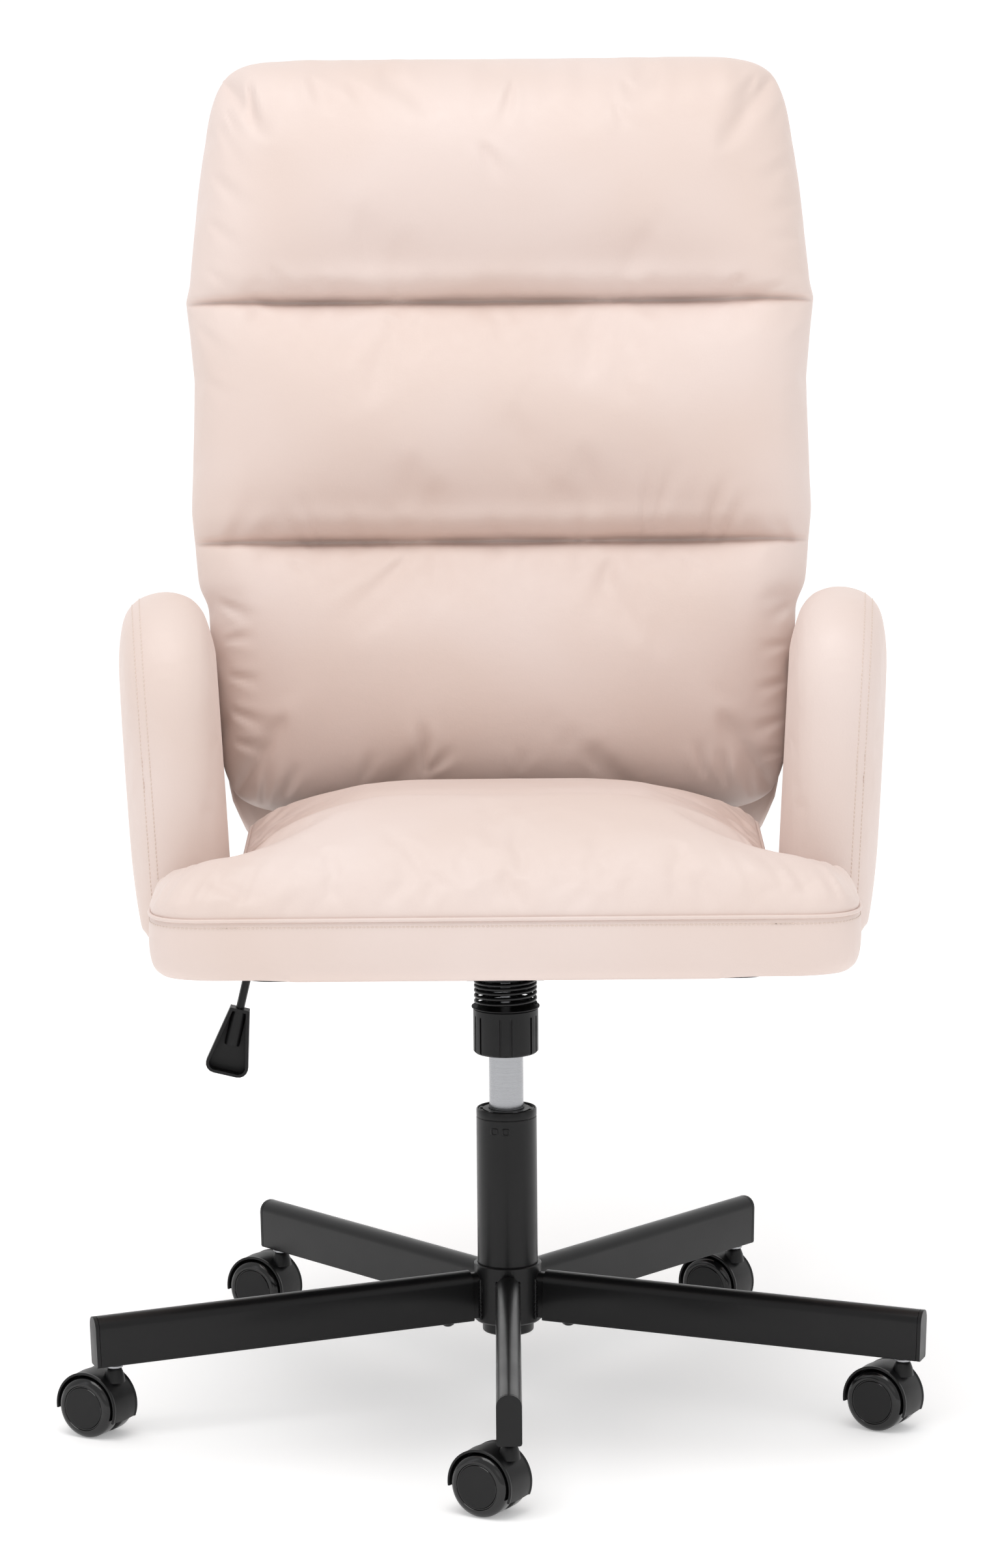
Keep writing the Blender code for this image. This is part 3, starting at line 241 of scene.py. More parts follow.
@dataclass(frozen=True)
class MouldedNylon(Finish):
    """Glass-filled nylon, moulded against a spark-eroded tool: a fine, even grain."""

    grain: float = 0.9           # mm, drawn coarser than the real 0.2

    def dress(self, tree: bpy.types.NodeTree, shader: bpy.types.Node,
              place: bpy.types.NodeSocket) -> None:
        """Add the eroded grain and the flow marks of the moulding."""
        grain = add_node(tree, "ShaderNodeTexNoise",
                         {"Vector": place, "Scale": per_metre(self.grain), "Detail": 3.0})
        flow = add_node(tree, "ShaderNodeTexNoise",
                        {"Vector": place, "Scale": per_metre(25), "Detail": 1.0})
        gloss = add_node(tree, "ShaderNodeMapRange",
                         {"Value": flow.outputs["Fac"], "From Min": 0.3, "From Max": 0.7,
                          "To Min": self.roughness - 0.05, "To Max": self.roughness + 0.05})
        tree.links.new(gloss.outputs["Result"], shader.inputs["Roughness"])
        bump = add_node(tree, "ShaderNodeBump",
                        {"Height": grain.outputs["Fac"], "Strength": 0.3, "Distance": 0.0001})
        tree.links.new(bump.outputs["Normal"], shader.inputs["Normal"])


@dataclass(frozen=True)
class PolishedNylon(Finish):
    """Nylon moulded against a polished tool: a wet-looking tread with faint scuffs."""

    scuff: float = 6.0           # mm

    def dress(self, tree: bpy.types.NodeTree, shader: bpy.types.Node,
              place: bpy.types.NodeSocket) -> None:
        """Add scuffs to the gloss."""
        scuff = add_node(tree, "ShaderNodeTexNoise",
                         {"Vector": place, "Scale": per_metre(self.scuff), "Detail": 5.0,
                          "Roughness": 0.65})
        gloss = add_node(tree, "ShaderNodeMapRange",
                         {"Value": scuff.outputs["Fac"], "From Min": 0.35, "From Max": 0.75,
                          "To Min": self.roughness, "To Max": self.roughness + 0.14})
        tree.links.new(gloss.outputs["Result"], shader.inputs["Roughness"])
        shader.inputs["Coat Weight"].default_value = 0.3
        shader.inputs["Coat Roughness"].default_value = 0.08


@dataclass(frozen=True)
class GroundSteel(Finish):
    """Steel tube, centreless-ground and chromed thin: fine rings across its length."""

    ring: float = 0.7            # mm, drawn coarser than the real 0.1

    def dress(self, tree: bpy.types.NodeTree, shader: bpy.types.Node,
              place: bpy.types.NodeSocket) -> None:
        """Add the grinding rings."""
        stretch = add_node(tree, "ShaderNodeMapping", {"Vector": place, "Scale": (0.01, 0.01, 1.0)})
        rings = add_node(tree, "ShaderNodeTexNoise",
                         {"Vector": stretch.outputs["Vector"], "Scale": per_metre(self.ring),
                          "Detail": 2.0})
        gloss = add_node(tree, "ShaderNodeMapRange",
                         {"Value": rings.outputs["Fac"], "From Min": 0.3, "From Max": 0.7,
                          "To Min": self.roughness - 0.06, "To Max": self.roughness + 0.08})
        tree.links.new(gloss.outputs["Result"], shader.inputs["Roughness"])
        bump = add_node(tree, "ShaderNodeBump",
                        {"Height": rings.outputs["Fac"], "Strength": 0.05, "Distance": 0.00003})
        tree.links.new(bump.outputs["Normal"], shader.inputs["Normal"])


@dataclass(frozen=True)
class SpunThread(Finish):
    """Bonded polyester thread: a twist of two plies, slightly furry."""

    twist: float = 0.8           # mm

    def dress(self, tree: bpy.types.NodeTree, shader: bpy.types.Node,
              place: bpy.types.NodeSocket) -> None:
        """Add the twist of the plies."""
        plies = add_node(tree, "ShaderNodeTexWave",
                         {"Vector": place, "Scale": per_metre(self.twist) / 6, "Distortion": 1.0},
                         bands_direction="DIAGONAL")
        bump = add_node(tree, "ShaderNodeBump",
                        {"Height": plies.outputs["Fac"], "Strength": 0.4, "Distance": 0.0001})
        tree.links.new(bump.outputs["Normal"], shader.inputs["Normal"])
        shader.inputs["Sheen Weight"].default_value = 0.3


@dataclass(frozen=True)
class SpunBond(Finish):
    """Spun-bonded polypropylene dust cloth: matt, embossed with a grid of weld points."""

    weld: float = 2.2            # mm between weld points

    def dress(self, tree: bpy.types.NodeTree, shader: bpy.types.Node,
              place: bpy.types.NodeSocket) -> None:
        """Add the weld points and the loose fibres."""
        points = add_node(tree, "ShaderNodeTexVoronoi",
                          {"Vector": place, "Scale": per_metre(self.weld), "Randomness": 0.1})
        fibres = add_node(tree, "ShaderNodeTexNoise",
                          {"Vector": place, "Scale": per_metre(0.9), "Detail": 4.0})
        first = add_node(tree, "ShaderNodeBump",
                         {"Height": points.outputs["Distance"], "Strength": 0.5,
                          "Distance": 0.0002})
        second = add_node(tree, "ShaderNodeBump",
                          {"Height": fibres.outputs["Fac"], "Strength": 0.4, "Distance": 0.0001,
                           "Normal": first.outputs["Normal"]})
        tree.links.new(second.outputs["Normal"], shader.inputs["Normal"])


@dataclass(frozen=True)
class PaperSweep(Finish):
    """Matt background paper, as in a studio: almost white, with no texture to speak of."""

    glow: float = 0.25           # keeps the paper white under soft light

    def dress(self, tree: bpy.types.NodeTree, shader: bpy.types.Node,
              place: bpy.types.NodeSocket) -> None:
        """Add the faint glow."""
        shader.inputs["Emission Color"].default_value = linear_colour("#FFFFFF")
        shader.inputs["Emission Strength"].default_value = self.glow


LEATHER = FauxLeather("blush_faux_leather", "#E3D2CB", 0.50)
THREAD = SpunThread("blush_polyester_thread", "#DDCBBF", 0.62)
POWDER = PowderCoat("black_powder_coat", "#101011", 0.32, ior=1.34)
NYLON = MouldedNylon("black_moulded_nylon", "#111112", 0.40, ior=1.36)
TREAD = PolishedNylon("black_polished_nylon", "#0A0A0B", 0.12, ior=1.42)
STEEL = GroundSteel("ground_steel", "#A3A4A7", 0.26, metallic=1.0)
OILED = PowderCoat("black_oiled_spring_steel", "#0D0D0E", 0.24, ior=1.40)
CLOTH = SpunBond("black_spun_bonded_cloth", "#1B1B1C", 0.85)
PAPER = PaperSweep("studio_paper", "#FBFBFB", 0.9)


@dataclass
class Palette:
    """The materials, one of each finish."""

    leather: bpy.types.Material
    thread: bpy.types.Material
    powder: bpy.types.Material
    nylon: bpy.types.Material
    tread: bpy.types.Material
    steel: bpy.types.Material
    oiled: bpy.types.Material
    cloth: bpy.types.Material
    paper: bpy.types.Material

    @classmethod
    def mixed(cls) -> "Palette":
        """Build every finish once."""
        return cls(*(finish.build() for finish in
                     (LEATHER, THREAD, POWDER, NYLON, TREAD, STEEL, OILED, CLOTH, PAPER)))


# ------------------------------------------------------------------ mesh tools
def shown(mesh: bpy.types.Mesh, sharp: float) -> bpy.types.Object:
    """Shade a mesh smooth up to an angle and link an object of its name.

    Args:
        mesh: the finished mesh.
        sharp: edges over this angle in degrees stay crisp.

    Returns:
        The object.
    """
    mesh.shade_smooth()
    mesh.set_sharp_from_angle(angle=math.radians(sharp))
    made = bpy.data.objects.new(mesh.name, mesh)
    bpy.context.scene.collection.objects.link(made)
    return made


def mesh_object(name: str, points: np.ndarray, faces: Iterable[Sequence[int]],
                material: bpy.types.Material, sharp: float = 40.0) -> bpy.types.Object:
    """Make a smooth-shaded mesh object at the origin.

    Args:
        name: the piece's name.
        points: corners in the row frame.
        faces: corner numbers of each face.
        material: its finish.
        sharp: edges over this angle in degrees stay crisp.

    Returns:
        The object, linked to the scene.
    """
    mesh = bpy.data.meshes.new(name)
    mesh.from_pydata([tuple(map(float, p)) for p in points], [], [tuple(f) for f in faces])
    mesh.materials.append(material)
    shape = bmesh.new()
    shape.from_mesh(mesh)
    bmesh.ops.recalc_face_normals(shape, faces=shape.faces)
    shape.to_mesh(mesh)
    shape.free()
    return shown(mesh, sharp)


def corners_of(piece: bpy.types.Object) -> np.ndarray:
    """Read a mesh's corners as an array of rows."""
    flat = np.zeros(len(piece.data.vertices) * 3, np.float64)
    piece.data.vertices.foreach_get("co", flat)
    return flat.reshape(-1, 3)


def put_corners(piece: bpy.types.Object, points: np.ndarray) -> None:
    """Write a mesh's corners back."""
    piece.data.vertices.foreach_set("co", points.astype(np.float32).ravel())
    piece.data.update()


def settle_modifiers(piece: bpy.types.Object) -> None:
    """Apply every modifier of a piece."""
    bpy.context.view_layer.update()
    graph = bpy.context.evaluated_depsgraph_get()
    mesh = bpy.data.meshes.new_from_object(piece.evaluated_get(graph))
    piece.modifiers.clear()
    piece.data = mesh
    mesh.shade_smooth()


def refine(piece: bpy.types.Object, levels: int = 1) -> None:
    """Subdivide a piece smoothly and apply it."""
    finer = piece.modifiers.new("finer", "SUBSURF")
    finer.levels = finer.render_levels = levels
    settle_modifiers(piece)


def remesh(piece: bpy.types.Object, voxel: float) -> None:
    """Turn a closed form to even quads of a voxel's size, in metres."""
    even = piece.modifiers.new("even", "REMESH")
    even.mode = "VOXEL"
    even.voxel_size = voxel
    even.use_smooth_shade = True
    settle_modifiers(piece)


def ring_faces(rings: int, around: int, closed: bool = True) -> list[tuple[int, int, int, int]]:
    """Quads between rows of corners laid one after the other.

    Args:
        rings: number of rows.
        around: corners in each row.
        closed: whether a row's end meets its start.

    Returns:
        The quads.
    """
    last = around if closed else around - 1
    return [(r * around + i, r * around + (i + 1) % around,
             (r + 1) * around + (i + 1) % around, (r + 1) * around + i)
            for r in range(rings - 1) for i in range(last)]


def capped_faces(rings: int, around: int) -> list[tuple[int, ...]]:
    """Quads between closed rows of corners, with a face on the first and the last row."""
    return [*ring_faces(rings, around), tuple(range(around)),
            tuple(range((rings - 1) * around, rings * around))]


def turned(name: str, profile: Profile, material: bpy.types.Material, steps: int = 64,
           place: Matrix | None = None, sharp: float = 40.0) -> bpy.types.Object:
    """Turn a closed profile about Z.

    Args:
        name: the piece's name.
        profile: radius and height of each corner; a radius of zero closes an end.
        material: its finish.
        steps: corners around.
        place: where its own frame goes.
        sharp: edges over this angle in degrees stay crisp.

    Returns:
        The object.
    """
    shape = bmesh.new()
    rings = []
    for radius, height in profile:
        if radius == 0:
            rings.append([shape.verts.new((0, 0, height))])
            continue
        rings.append([shape.verts.new((radius * math.cos(a), radius * math.sin(a), height))
                      for a in (2 * math.pi * i / steps for i in range(steps))])
    for low, high in zip(rings, rings[1:] + ([rings[0]] if len(rings[0]) > 1 else [])):
        for i in range(steps):
            j = (i + 1) % steps
            ends = (low[i % len(low)], low[j % len(low)], high[j % len(high)],
                    high[i % len(high)])
            corners = list(dict.fromkeys(ends))
            if len(corners) > 2:
                shape.faces.new(corners)
    bmesh.ops.recalc_face_normals(shape, faces=shape.faces)
    if place is not None:
        bmesh.ops.transform(shape, matrix=place, verts=shape.verts)
    mesh = bpy.data.meshes.new(name)
    shape.to_mesh(mesh)
    shape.free()
    mesh.materials.append(material)
    return shown(mesh, sharp)


def swept(name: str, path: np.ndarray, radius: float, material: bpy.types.Material,
          sides: int = 10, closed: bool = False) -> bpy.types.Object:
    """Sweep a round bar along a path.

    Args:
        name: the piece's name.
        path: points in the row frame.
        radius: the bar's radius.
        material: its finish.
        sides: corners around the bar.
        closed: whether its end meets its start.

    Returns:
        The object.
    """
    count = len(path)
    ahead = np.roll(path, -1, 0) - np.roll(path, 1, 0)
    if not closed:
        ahead[0], ahead[-1] = path[1] - path[0], path[-1] - path[-2]
    ahead /= np.linalg.norm(ahead, axis=1)[:, None]
    side = np.cross(ahead[0], (0.0, 0.0, 1.0))
    if np.linalg.norm(side) < 1e-6:
        side = np.array((1.0, 0.0, 0.0))
    points = []
    for i in range(count):
        side = side - ahead[i] * (side @ ahead[i])
        side /= np.linalg.norm(side)
        up = np.cross(ahead[i], side)
        points += [path[i] + radius * (math.cos(a) * side + math.sin(a) * up)
                   for a in (2 * math.pi * k / sides for k in range(sides))]
    faces: list[tuple[int, ...]] = list(ring_faces(count, sides))
    if closed:
        last = (count - 1) * sides
        faces += [(last + k, last + (k + 1) % sides, (k + 1) % sides, k) for k in range(sides)]
    else:
        faces += [tuple(range(sides)), tuple(range((count - 1) * sides, count * sides))]
    return mesh_object(name, np.array(points), faces, material, 60.0)


def mount(piece: bpy.types.Object, body: str, slot: Slot,
          *replaced: str) -> bpy.types.Object:
    """Let a piece ride on a body and stand for CAD nodes.

    Args:
        piece: the piece, in place.
        body: the body it moves with.
        slot: the record's slot; not used.
        *replaced: CAD nodes it stands for.

    Returns:
        The piece.
    """
    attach(piece, body)
    if replaced:
        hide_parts(*replaced)
    LOG.info("%s rides on %s", piece.name, body)
    return piece


def smooth_step(value: np.ndarray | float, low: float, high: float) -> np.ndarray:
    """Ease from 0 at low to 1 at high."""
    share = np.clip((np.asarray(value, float) - low) / (high - low), 0, 1)
    return share * share * (3 - 2 * share)


def roll(distance: np.ndarray, radius: np.ndarray | float, fullness: float = 2.0) -> np.ndarray:
    """Rounded edge: 0 on the rim, 1 from one radius inwards."""
    share = np.clip(distance / radius, 0, 1)
    return (1 - (1 - share) ** fullness) ** (1 / fullness)


def spaced(low: float, high: float, step: float, fine: float, marks: Sequence[float],
           reach: float) -> np.ndarray:
    """Lay out rows that crowd together near some marks.

    Args:
        low: first row.
        high: last row.
        step: spacing away from the marks.
        fine: spacing at a mark.
        marks: places that need close rows, each of which gets a row of its own.
        reach: how far the close rows go.

    Returns:
        The rows, in order.
    """
    ends = sorted({low, high, *marks})
    rows = [low]
    for start, end in zip(ends, ends[1:]):
        trial = np.linspace(start, end, 400)
        near = np.min([np.abs(trial - mark) for mark in marks], axis=0)
        size = fine + (step - fine) * np.clip(near / reach, 0, 1)
        count = np.concatenate([[0], np.cumsum(np.diff(trial) / size[1:])])
        wanted = np.linspace(0, count[-1], max(2, round(count[-1])) + 1)
        rows += list(np.interp(wanted, count, trial)[1:])
    return np.array(rows)


@dataclass(frozen=True)
class Fold:
    """A pull or pleat in a cover: a soft valley beside a softer ridge, from a to b."""

    a: tuple[float, float]
    b: tuple[float, float]
    width: float
    depth: float

    def height(self, across: np.ndarray, along: np.ndarray) -> np.ndarray:
        """Height of the fold at points of the cover's own plane.

        Args:
            across: first coordinate of each point.
            along: second coordinate of each point.

        Returns:
            Height over the smooth cover; negative in the valley.
        """
        line = np.array(self.b) - np.array(self.a)
        length = float(np.hypot(*line))
        unit = line / length
        from_a = np.stack([across - self.a[0], along - self.a[1]], -1)
        run = from_a @ unit / length
        offset = (from_a @ np.array((-unit[1], unit[0]))) / (self.width * (0.55 + 0.9 * np.clip(run, 0, 1)))
        fade = smooth_step(run, -0.10, 0.12) * (1 - smooth_step(run, 0.25, 1.0))
        valley = np.exp(-offset ** 2)
        ridge = np.exp(-(np.abs(offset) - 1.7) ** 2 / 0.9)
        return self.depth * fade * (0.45 * ridge - valley)


def inflate(piece: bpy.types.Object, held: dict[float, np.ndarray], pressure: float,
            cap: float, spare: float = 0.0, bend: float = 0.5, frames: int = 20) -> None:
    """Blow a closed cover up as cloth and keep the result.

    Args:
        piece: the closed cover.
        held: corner numbers pinned, by how firmly.
        pressure: pressure inside.
        cap: the furthest that a corner may move, in metres.
        spare: share by which the cover is cut larger than its form.
        bend: bending stiffness.
        frames: steps of the simulation.
    """
    scene = bpy.context.scene
    rest = corners_of(piece)
    pins = piece.vertex_groups.new(name="held")
    for weight, corners in held.items():
        pins.add([int(i) for i in corners], weight, "REPLACE")
    cloth = piece.modifiers.new("filling", "CLOTH")
    sheet = cloth.settings
    sheet.quality = 5
    sheet.mass = 0.25
    sheet.tension_stiffness = sheet.compression_stiffness = 20.0
    sheet.shear_stiffness = 8.0
    sheet.bending_stiffness = bend
    sheet.air_damping = 4.0
    sheet.use_pressure = True
    sheet.uniform_pressure_force = pressure
    sheet.shrink_min = -spare
    sheet.vertex_group_mass = "held"
    sheet.effector_weights.gravity = 0.0
    cloth.collision_settings.use_collision = False
    cloth.point_cache.frame_start, cloth.point_cache.frame_end = 1, frames
    for number in range(1, frames + 1):
        scene.frame_set(number)
    graph = bpy.context.evaluated_depsgraph_get()
    worn = piece.evaluated_get(graph)
    flat = np.zeros(len(rest) * 3, np.float64)
    worn.data.vertices.foreach_get("co", flat)
    moved = flat.reshape(-1, 3) - rest
    reach = np.linalg.norm(moved, axis=1)
    moved *= np.minimum(1.0, cap / np.maximum(reach, 1e-9))[:, None]
    piece.modifiers.remove(cloth)
    piece.vertex_groups.remove(pins)
    scene.frame_set(1)
    put_corners(piece, rest + moved)
    LOG.info("%s swelled by up to %.1f mm", piece.name, 1000 * float(reach.max()))


@dataclass
class Surface:
    """A piece's skin, to lay seams and stitches on."""

    tree: BVHTree

    @classmethod
    def of(cls, piece: bpy.types.Object) -> "Surface":
        """Take the skin of a finished mesh piece."""
        mesh = piece.data
        return cls(BVHTree.FromPolygons([v.co.copy() for v in mesh.vertices],
                                        [tuple(p.vertices) for p in mesh.polygons]))

    def drop(self, start: Sequence[float], direction: Sequence[float]
             ) -> tuple[Vector, Vector] | None:
        """Find where a ray meets the skin.

        Args:
            start: where the ray starts.
            direction: where it goes.

        Returns:
            The point and the outward normal, or None where it misses.
        """
        place, normal, _, _ = self.tree.ray_cast(Vector(start), Vector(direction))
        if place is None:
            return None
        if normal.dot(Vector(direction)) > 0:
            normal = -normal
        return place, normal


def stitched(name: str, line: Sequence[tuple[Vector, Vector]], pitch: float, thread: float,
             material: bpy.types.Material) -> bpy.types.Object:
    """Lay a row of stitches along a line on a skin.

    Args:
        name: the piece's name.
        line: points of the skin with their normals.
        pitch: length of one stitch with its gap.
        thread: radius of the thread.
        material: the thread's finish.

    Returns:
        The stitches, as one piece.
    """
    places = np.array([p for p, _ in line])
    normals = np.array([n for _, n in line])
    run = np.concatenate([[0], np.cumsum(np.linalg.norm(np.diff(places, axis=0), axis=1))])
    points: list[np.ndarray] = []
    faces: list[tuple[int, ...]] = []
    sides = 6
    for number in range(int(run[-1] / pitch)):
        marks = (number + np.array((0.08, 0.3, 0.7, 0.92))) * pitch
        middle = np.stack([np.interp(marks, run, places[:, k]) for k in range(3)], -1)
        out = np.stack([np.interp(marks, run, normals[:, k]) for k in range(3)], -1)
        out /= np.linalg.norm(out, axis=1)[:, None]
        lift = np.array((-0.5, 0.45, 0.45, -0.5))[:, None] * thread
        size = np.array((0.55, 1.0, 1.0, 0.55)) * thread
        middle = middle + out * lift
        ahead = middle[-1] - middle[0]
        ahead /= np.linalg.norm(ahead)
        start = len(points)
        for place, normal, radius in zip(middle, out, size):
            side = np.cross(ahead, normal)
            side /= np.linalg.norm(side)
            up = np.cross(side, ahead)
            points += [place + radius * (math.cos(a) * side + math.sin(a) * up)
                       for a in (2 * math.pi * k / sides for k in range(sides))]
        faces += [tuple(start + c for c in quad) for quad in ring_faces(4, sides)]
        faces += [tuple(start + k for k in range(sides)),
                  tuple(start + 3 * sides + k for k in range(sides))]
    return mesh_object(name, np.array(points), faces, material, 80.0)


# ------------------------------------------------------------------ upholstery
@dataclass(frozen=True)
class BackPlane:
    """The reclined plane of the back: x across, h up the back, d forwards out of it."""

    foot_y: float = 0.260
    foot_z: float = 0.4071
    recline: float = math.radians(10.0)

    def place(self, across: np.ndarray, up: np.ndarray, out: np.ndarray) -> np.ndarray:
        """Turn back coordinates to the row frame."""
        s, c = math.sin(self.recline), math.cos(self.recline)
        return np.stack([across, self.foot_y - out * c + up * s,
                         self.foot_z + out * s + up * c], -1)

    def read(self, points: np.ndarray) -> tuple[np.ndarray, np.ndarray, np.ndarray]:
        """Turn points of the row frame to across, up and out."""
        s, c = math.sin(self.recline), math.cos(self.recline)
        y, z = points[:, 1] - self.foot_y, points[:, 2] - self.foot_z
        return points[:, 0], y * s + z * c, -y * c + z * s

    def forwards(self) -> np.ndarray:
        """Direction out of the back, in the row frame."""
        return np.array((0.0, -math.cos(self.recline), math.sin(self.recline)))


BACK_HALF_WIDTHS: Profile = (
    (0.030, 0.2320), (0.050, 0.2368), (0.085, 0.2395), (0.150, 0.2430), (0.190, 0.2450),
    (0.210, 0.2460), (0.228, 0.2540), (0.276, 0.2580), (0.290, 0.2595), (0.320, 0.2585),
    (0.360, 0.2572), (0.400, 0.2565), (0.440, 0.2600), (0.466, 0.2630), (0.478, 0.2600),
    (0.520, 0.2560), (0.560, 0.2520), (0.600, 0.2470), (0.640, 0.2440), (0.675, 0.2430))

BACK_FOLDS: tuple[Fold, ...] = (
    Fold((-0.21, 0.652), (-0.203, 0.603), 0.0039, 0.0032),
    Fold((-0.229, 0.632), (-0.215, 0.595), 0.0044, 0.0022),
    Fold((-0.16, 0.661), (-0.139, 0.62), 0.0061, 0.0022),
    Fold((-0.127, 0.654), (-0.091, 0.611), 0.0077, 0.0016),
    Fold((0.013, 0.654), (0.002, 0.603), 0.0050, 0.0026),
    Fold((-0.014, 0.597), (0.006, 0.561), 0.0072, 0.0024),
    Fold((0.106, 0.654), (0.12, 0.63), 0.0055, 0.0016),
    Fold((0.099, 0.632), (0.11, 0.605), 0.0055, 0.0018),
    Fold((0.218, 0.658), (0.194, 0.619), 0.0055, 0.0024),
    Fold((0.241, 0.635), (0.23, 0.603), 0.0055, 0.0018),
    Fold((0.253, 0.592), (0.214, 0.557), 0.0061, 0.0020),
    Fold((0.258, 0.554), (0.222, 0.536), 0.0055, 0.0018),
    Fold((0.261, 0.522), (0.219, 0.517), 0.0050, 0.0016),
    Fold((0.261, 0.495), (0.227, 0.498), 0.0044, 0.0014),
    Fold((-0.235, 0.619), (-0.213, 0.571), 0.0050, 0.0018),
    Fold((-0.24, 0.576), (-0.207, 0.538), 0.0061, 0.0020),
    Fold((-0.245, 0.538), (-0.213, 0.506), 0.0055, 0.0018),
    Fold((-0.247, 0.501), (-0.218, 0.483), 0.0044, 0.0014),
    Fold((-0.21, 0.483), (-0.173, 0.473), 0.0044, 0.0022),
    Fold((-0.193, 0.501), (-0.169, 0.475), 0.0050, 0.0018),
    Fold((-0.152, 0.494), (-0.127, 0.473), 0.0055, 0.0016),
    Fold((0.205, 0.493), (0.172, 0.473), 0.0050, 0.0020),
    Fold((0.239, 0.489), (0.183, 0.471), 0.0044, 0.0018),
    Fold((0.103, 0.49), (0.125, 0.471), 0.0055, 0.0010),
    Fold((-0.097, 0.464), (-0.082, 0.442), 0.0050, 0.0012),
    Fold((-0.004, 0.466), (0.01, 0.415), 0.0077, 0.0012),
    Fold((-0.069, 0.465), (-0.058, 0.415), 0.0077, 0.0008),
    Fold((-0.254, 0.455), (-0.229, 0.415), 0.0061, 0.0018),
    Fold((-0.248, 0.404), (-0.224, 0.382), 0.0055, 0.0013),
    Fold((0.265, 0.455), (0.24, 0.415), 0.0061, 0.0018),
    Fold((0.263, 0.404), (0.239, 0.377), 0.0055, 0.0013),
    Fold((-0.16, 0.274), (-0.195, 0.307), 0.0050, 0.0024),
    Fold((-0.152, 0.276), (-0.177, 0.313), 0.0050, 0.0020),
    Fold((-0.112, 0.275), (-0.138, 0.299), 0.0050, 0.0016),
    Fold((-0.091, 0.272), (-0.117, 0.294), 0.0044, 0.0014),
    Fold((0.118, 0.278), (0.128, 0.334), 0.0050, 0.0030),
    Fold((0.125, 0.281), (0.15, 0.339), 0.0061, 0.0024),
    Fold((0.169, 0.279), (0.194, 0.326), 0.0055, 0.0030),
    Fold((0.183, 0.277), (0.211, 0.313), 0.0050, 0.0020),
    Fold((0.064, 0.275), (0.072, 0.307), 0.0055, 0.0010),
    Fold((-0.052, 0.274), (-0.06, 0.299), 0.0055, 0.0009),
    Fold((-0.235, 0.274), (-0.199, 0.313), 0.0066, 0.0014),
    Fold((0.247, 0.274), (0.222, 0.299), 0.0055, 0.0016),
    Fold((-0.082, 0.259), (-0.152, 0.173), 0.0089, 0.0016),
    Fold((0.095, 0.261), (0.07, 0.184), 0.0083, 0.0014),
    Fold((0.153, 0.261), (0.169, 0.232), 0.0050, 0.0012),
    Fold((-0.177, 0.259), (-0.152, 0.232), 0.0050, 0.0012),
    Fold((-0.237, 0.216), (-0.204, 0.197), 0.0050, 0.0024),
    Fold((-0.234, 0.184), (-0.204, 0.186), 0.0044, 0.0022),
    Fold((-0.231, 0.154), (-0.199, 0.146), 0.0044, 0.0022),
    Fold((-0.229, 0.124), (-0.193, 0.108), 0.0050, 0.0024),
    Fold((-0.226, 0.098), (-0.19, 0.087), 0.0050, 0.0022),
    Fold((0.243, 0.21), (0.219, 0.192), 0.0050, 0.0022),
    Fold((0.241, 0.178), (0.211, 0.17), 0.0044, 0.0020),
    Fold((0.239, 0.146), (0.208, 0.135), 0.0044, 0.0022),
    Fold((0.237, 0.114), (0.203, 0.1), 0.0050, 0.0022),
    Fold((0.236, 0.087), (0.208, 0.081), 0.0044, 0.0020),
    Fold((-0.204, 0.044), (-0.196, 0.087), 0.0044, 0.0036),
    Fold((-0.185, 0.052), (-0.171, 0.084), 0.0050, 0.0026),
    Fold((-0.118, 0.065), (-0.11, 0.092), 0.0050, 0.0020),
    Fold((-0.066, 0.068), (-0.069, 0.124), 0.0050, 0.0034),
    Fold((-0.062, 0.071), (-0.038, 0.095), 0.0050, 0.0024),
    Fold((0.014, 0.071), (0.017, 0.095), 0.0066, 0.0010),
    Fold((0.078, 0.071), (0.072, 0.092), 0.0055, 0.0012),
    Fold((0.169, 0.065), (0.163, 0.1), 0.0050, 0.0026),
    Fold((0.189, 0.057), (0.183, 0.092), 0.0044, 0.0028),
    Fold((0.211, 0.049), (0.2, 0.087), 0.0050, 0.0024),
)


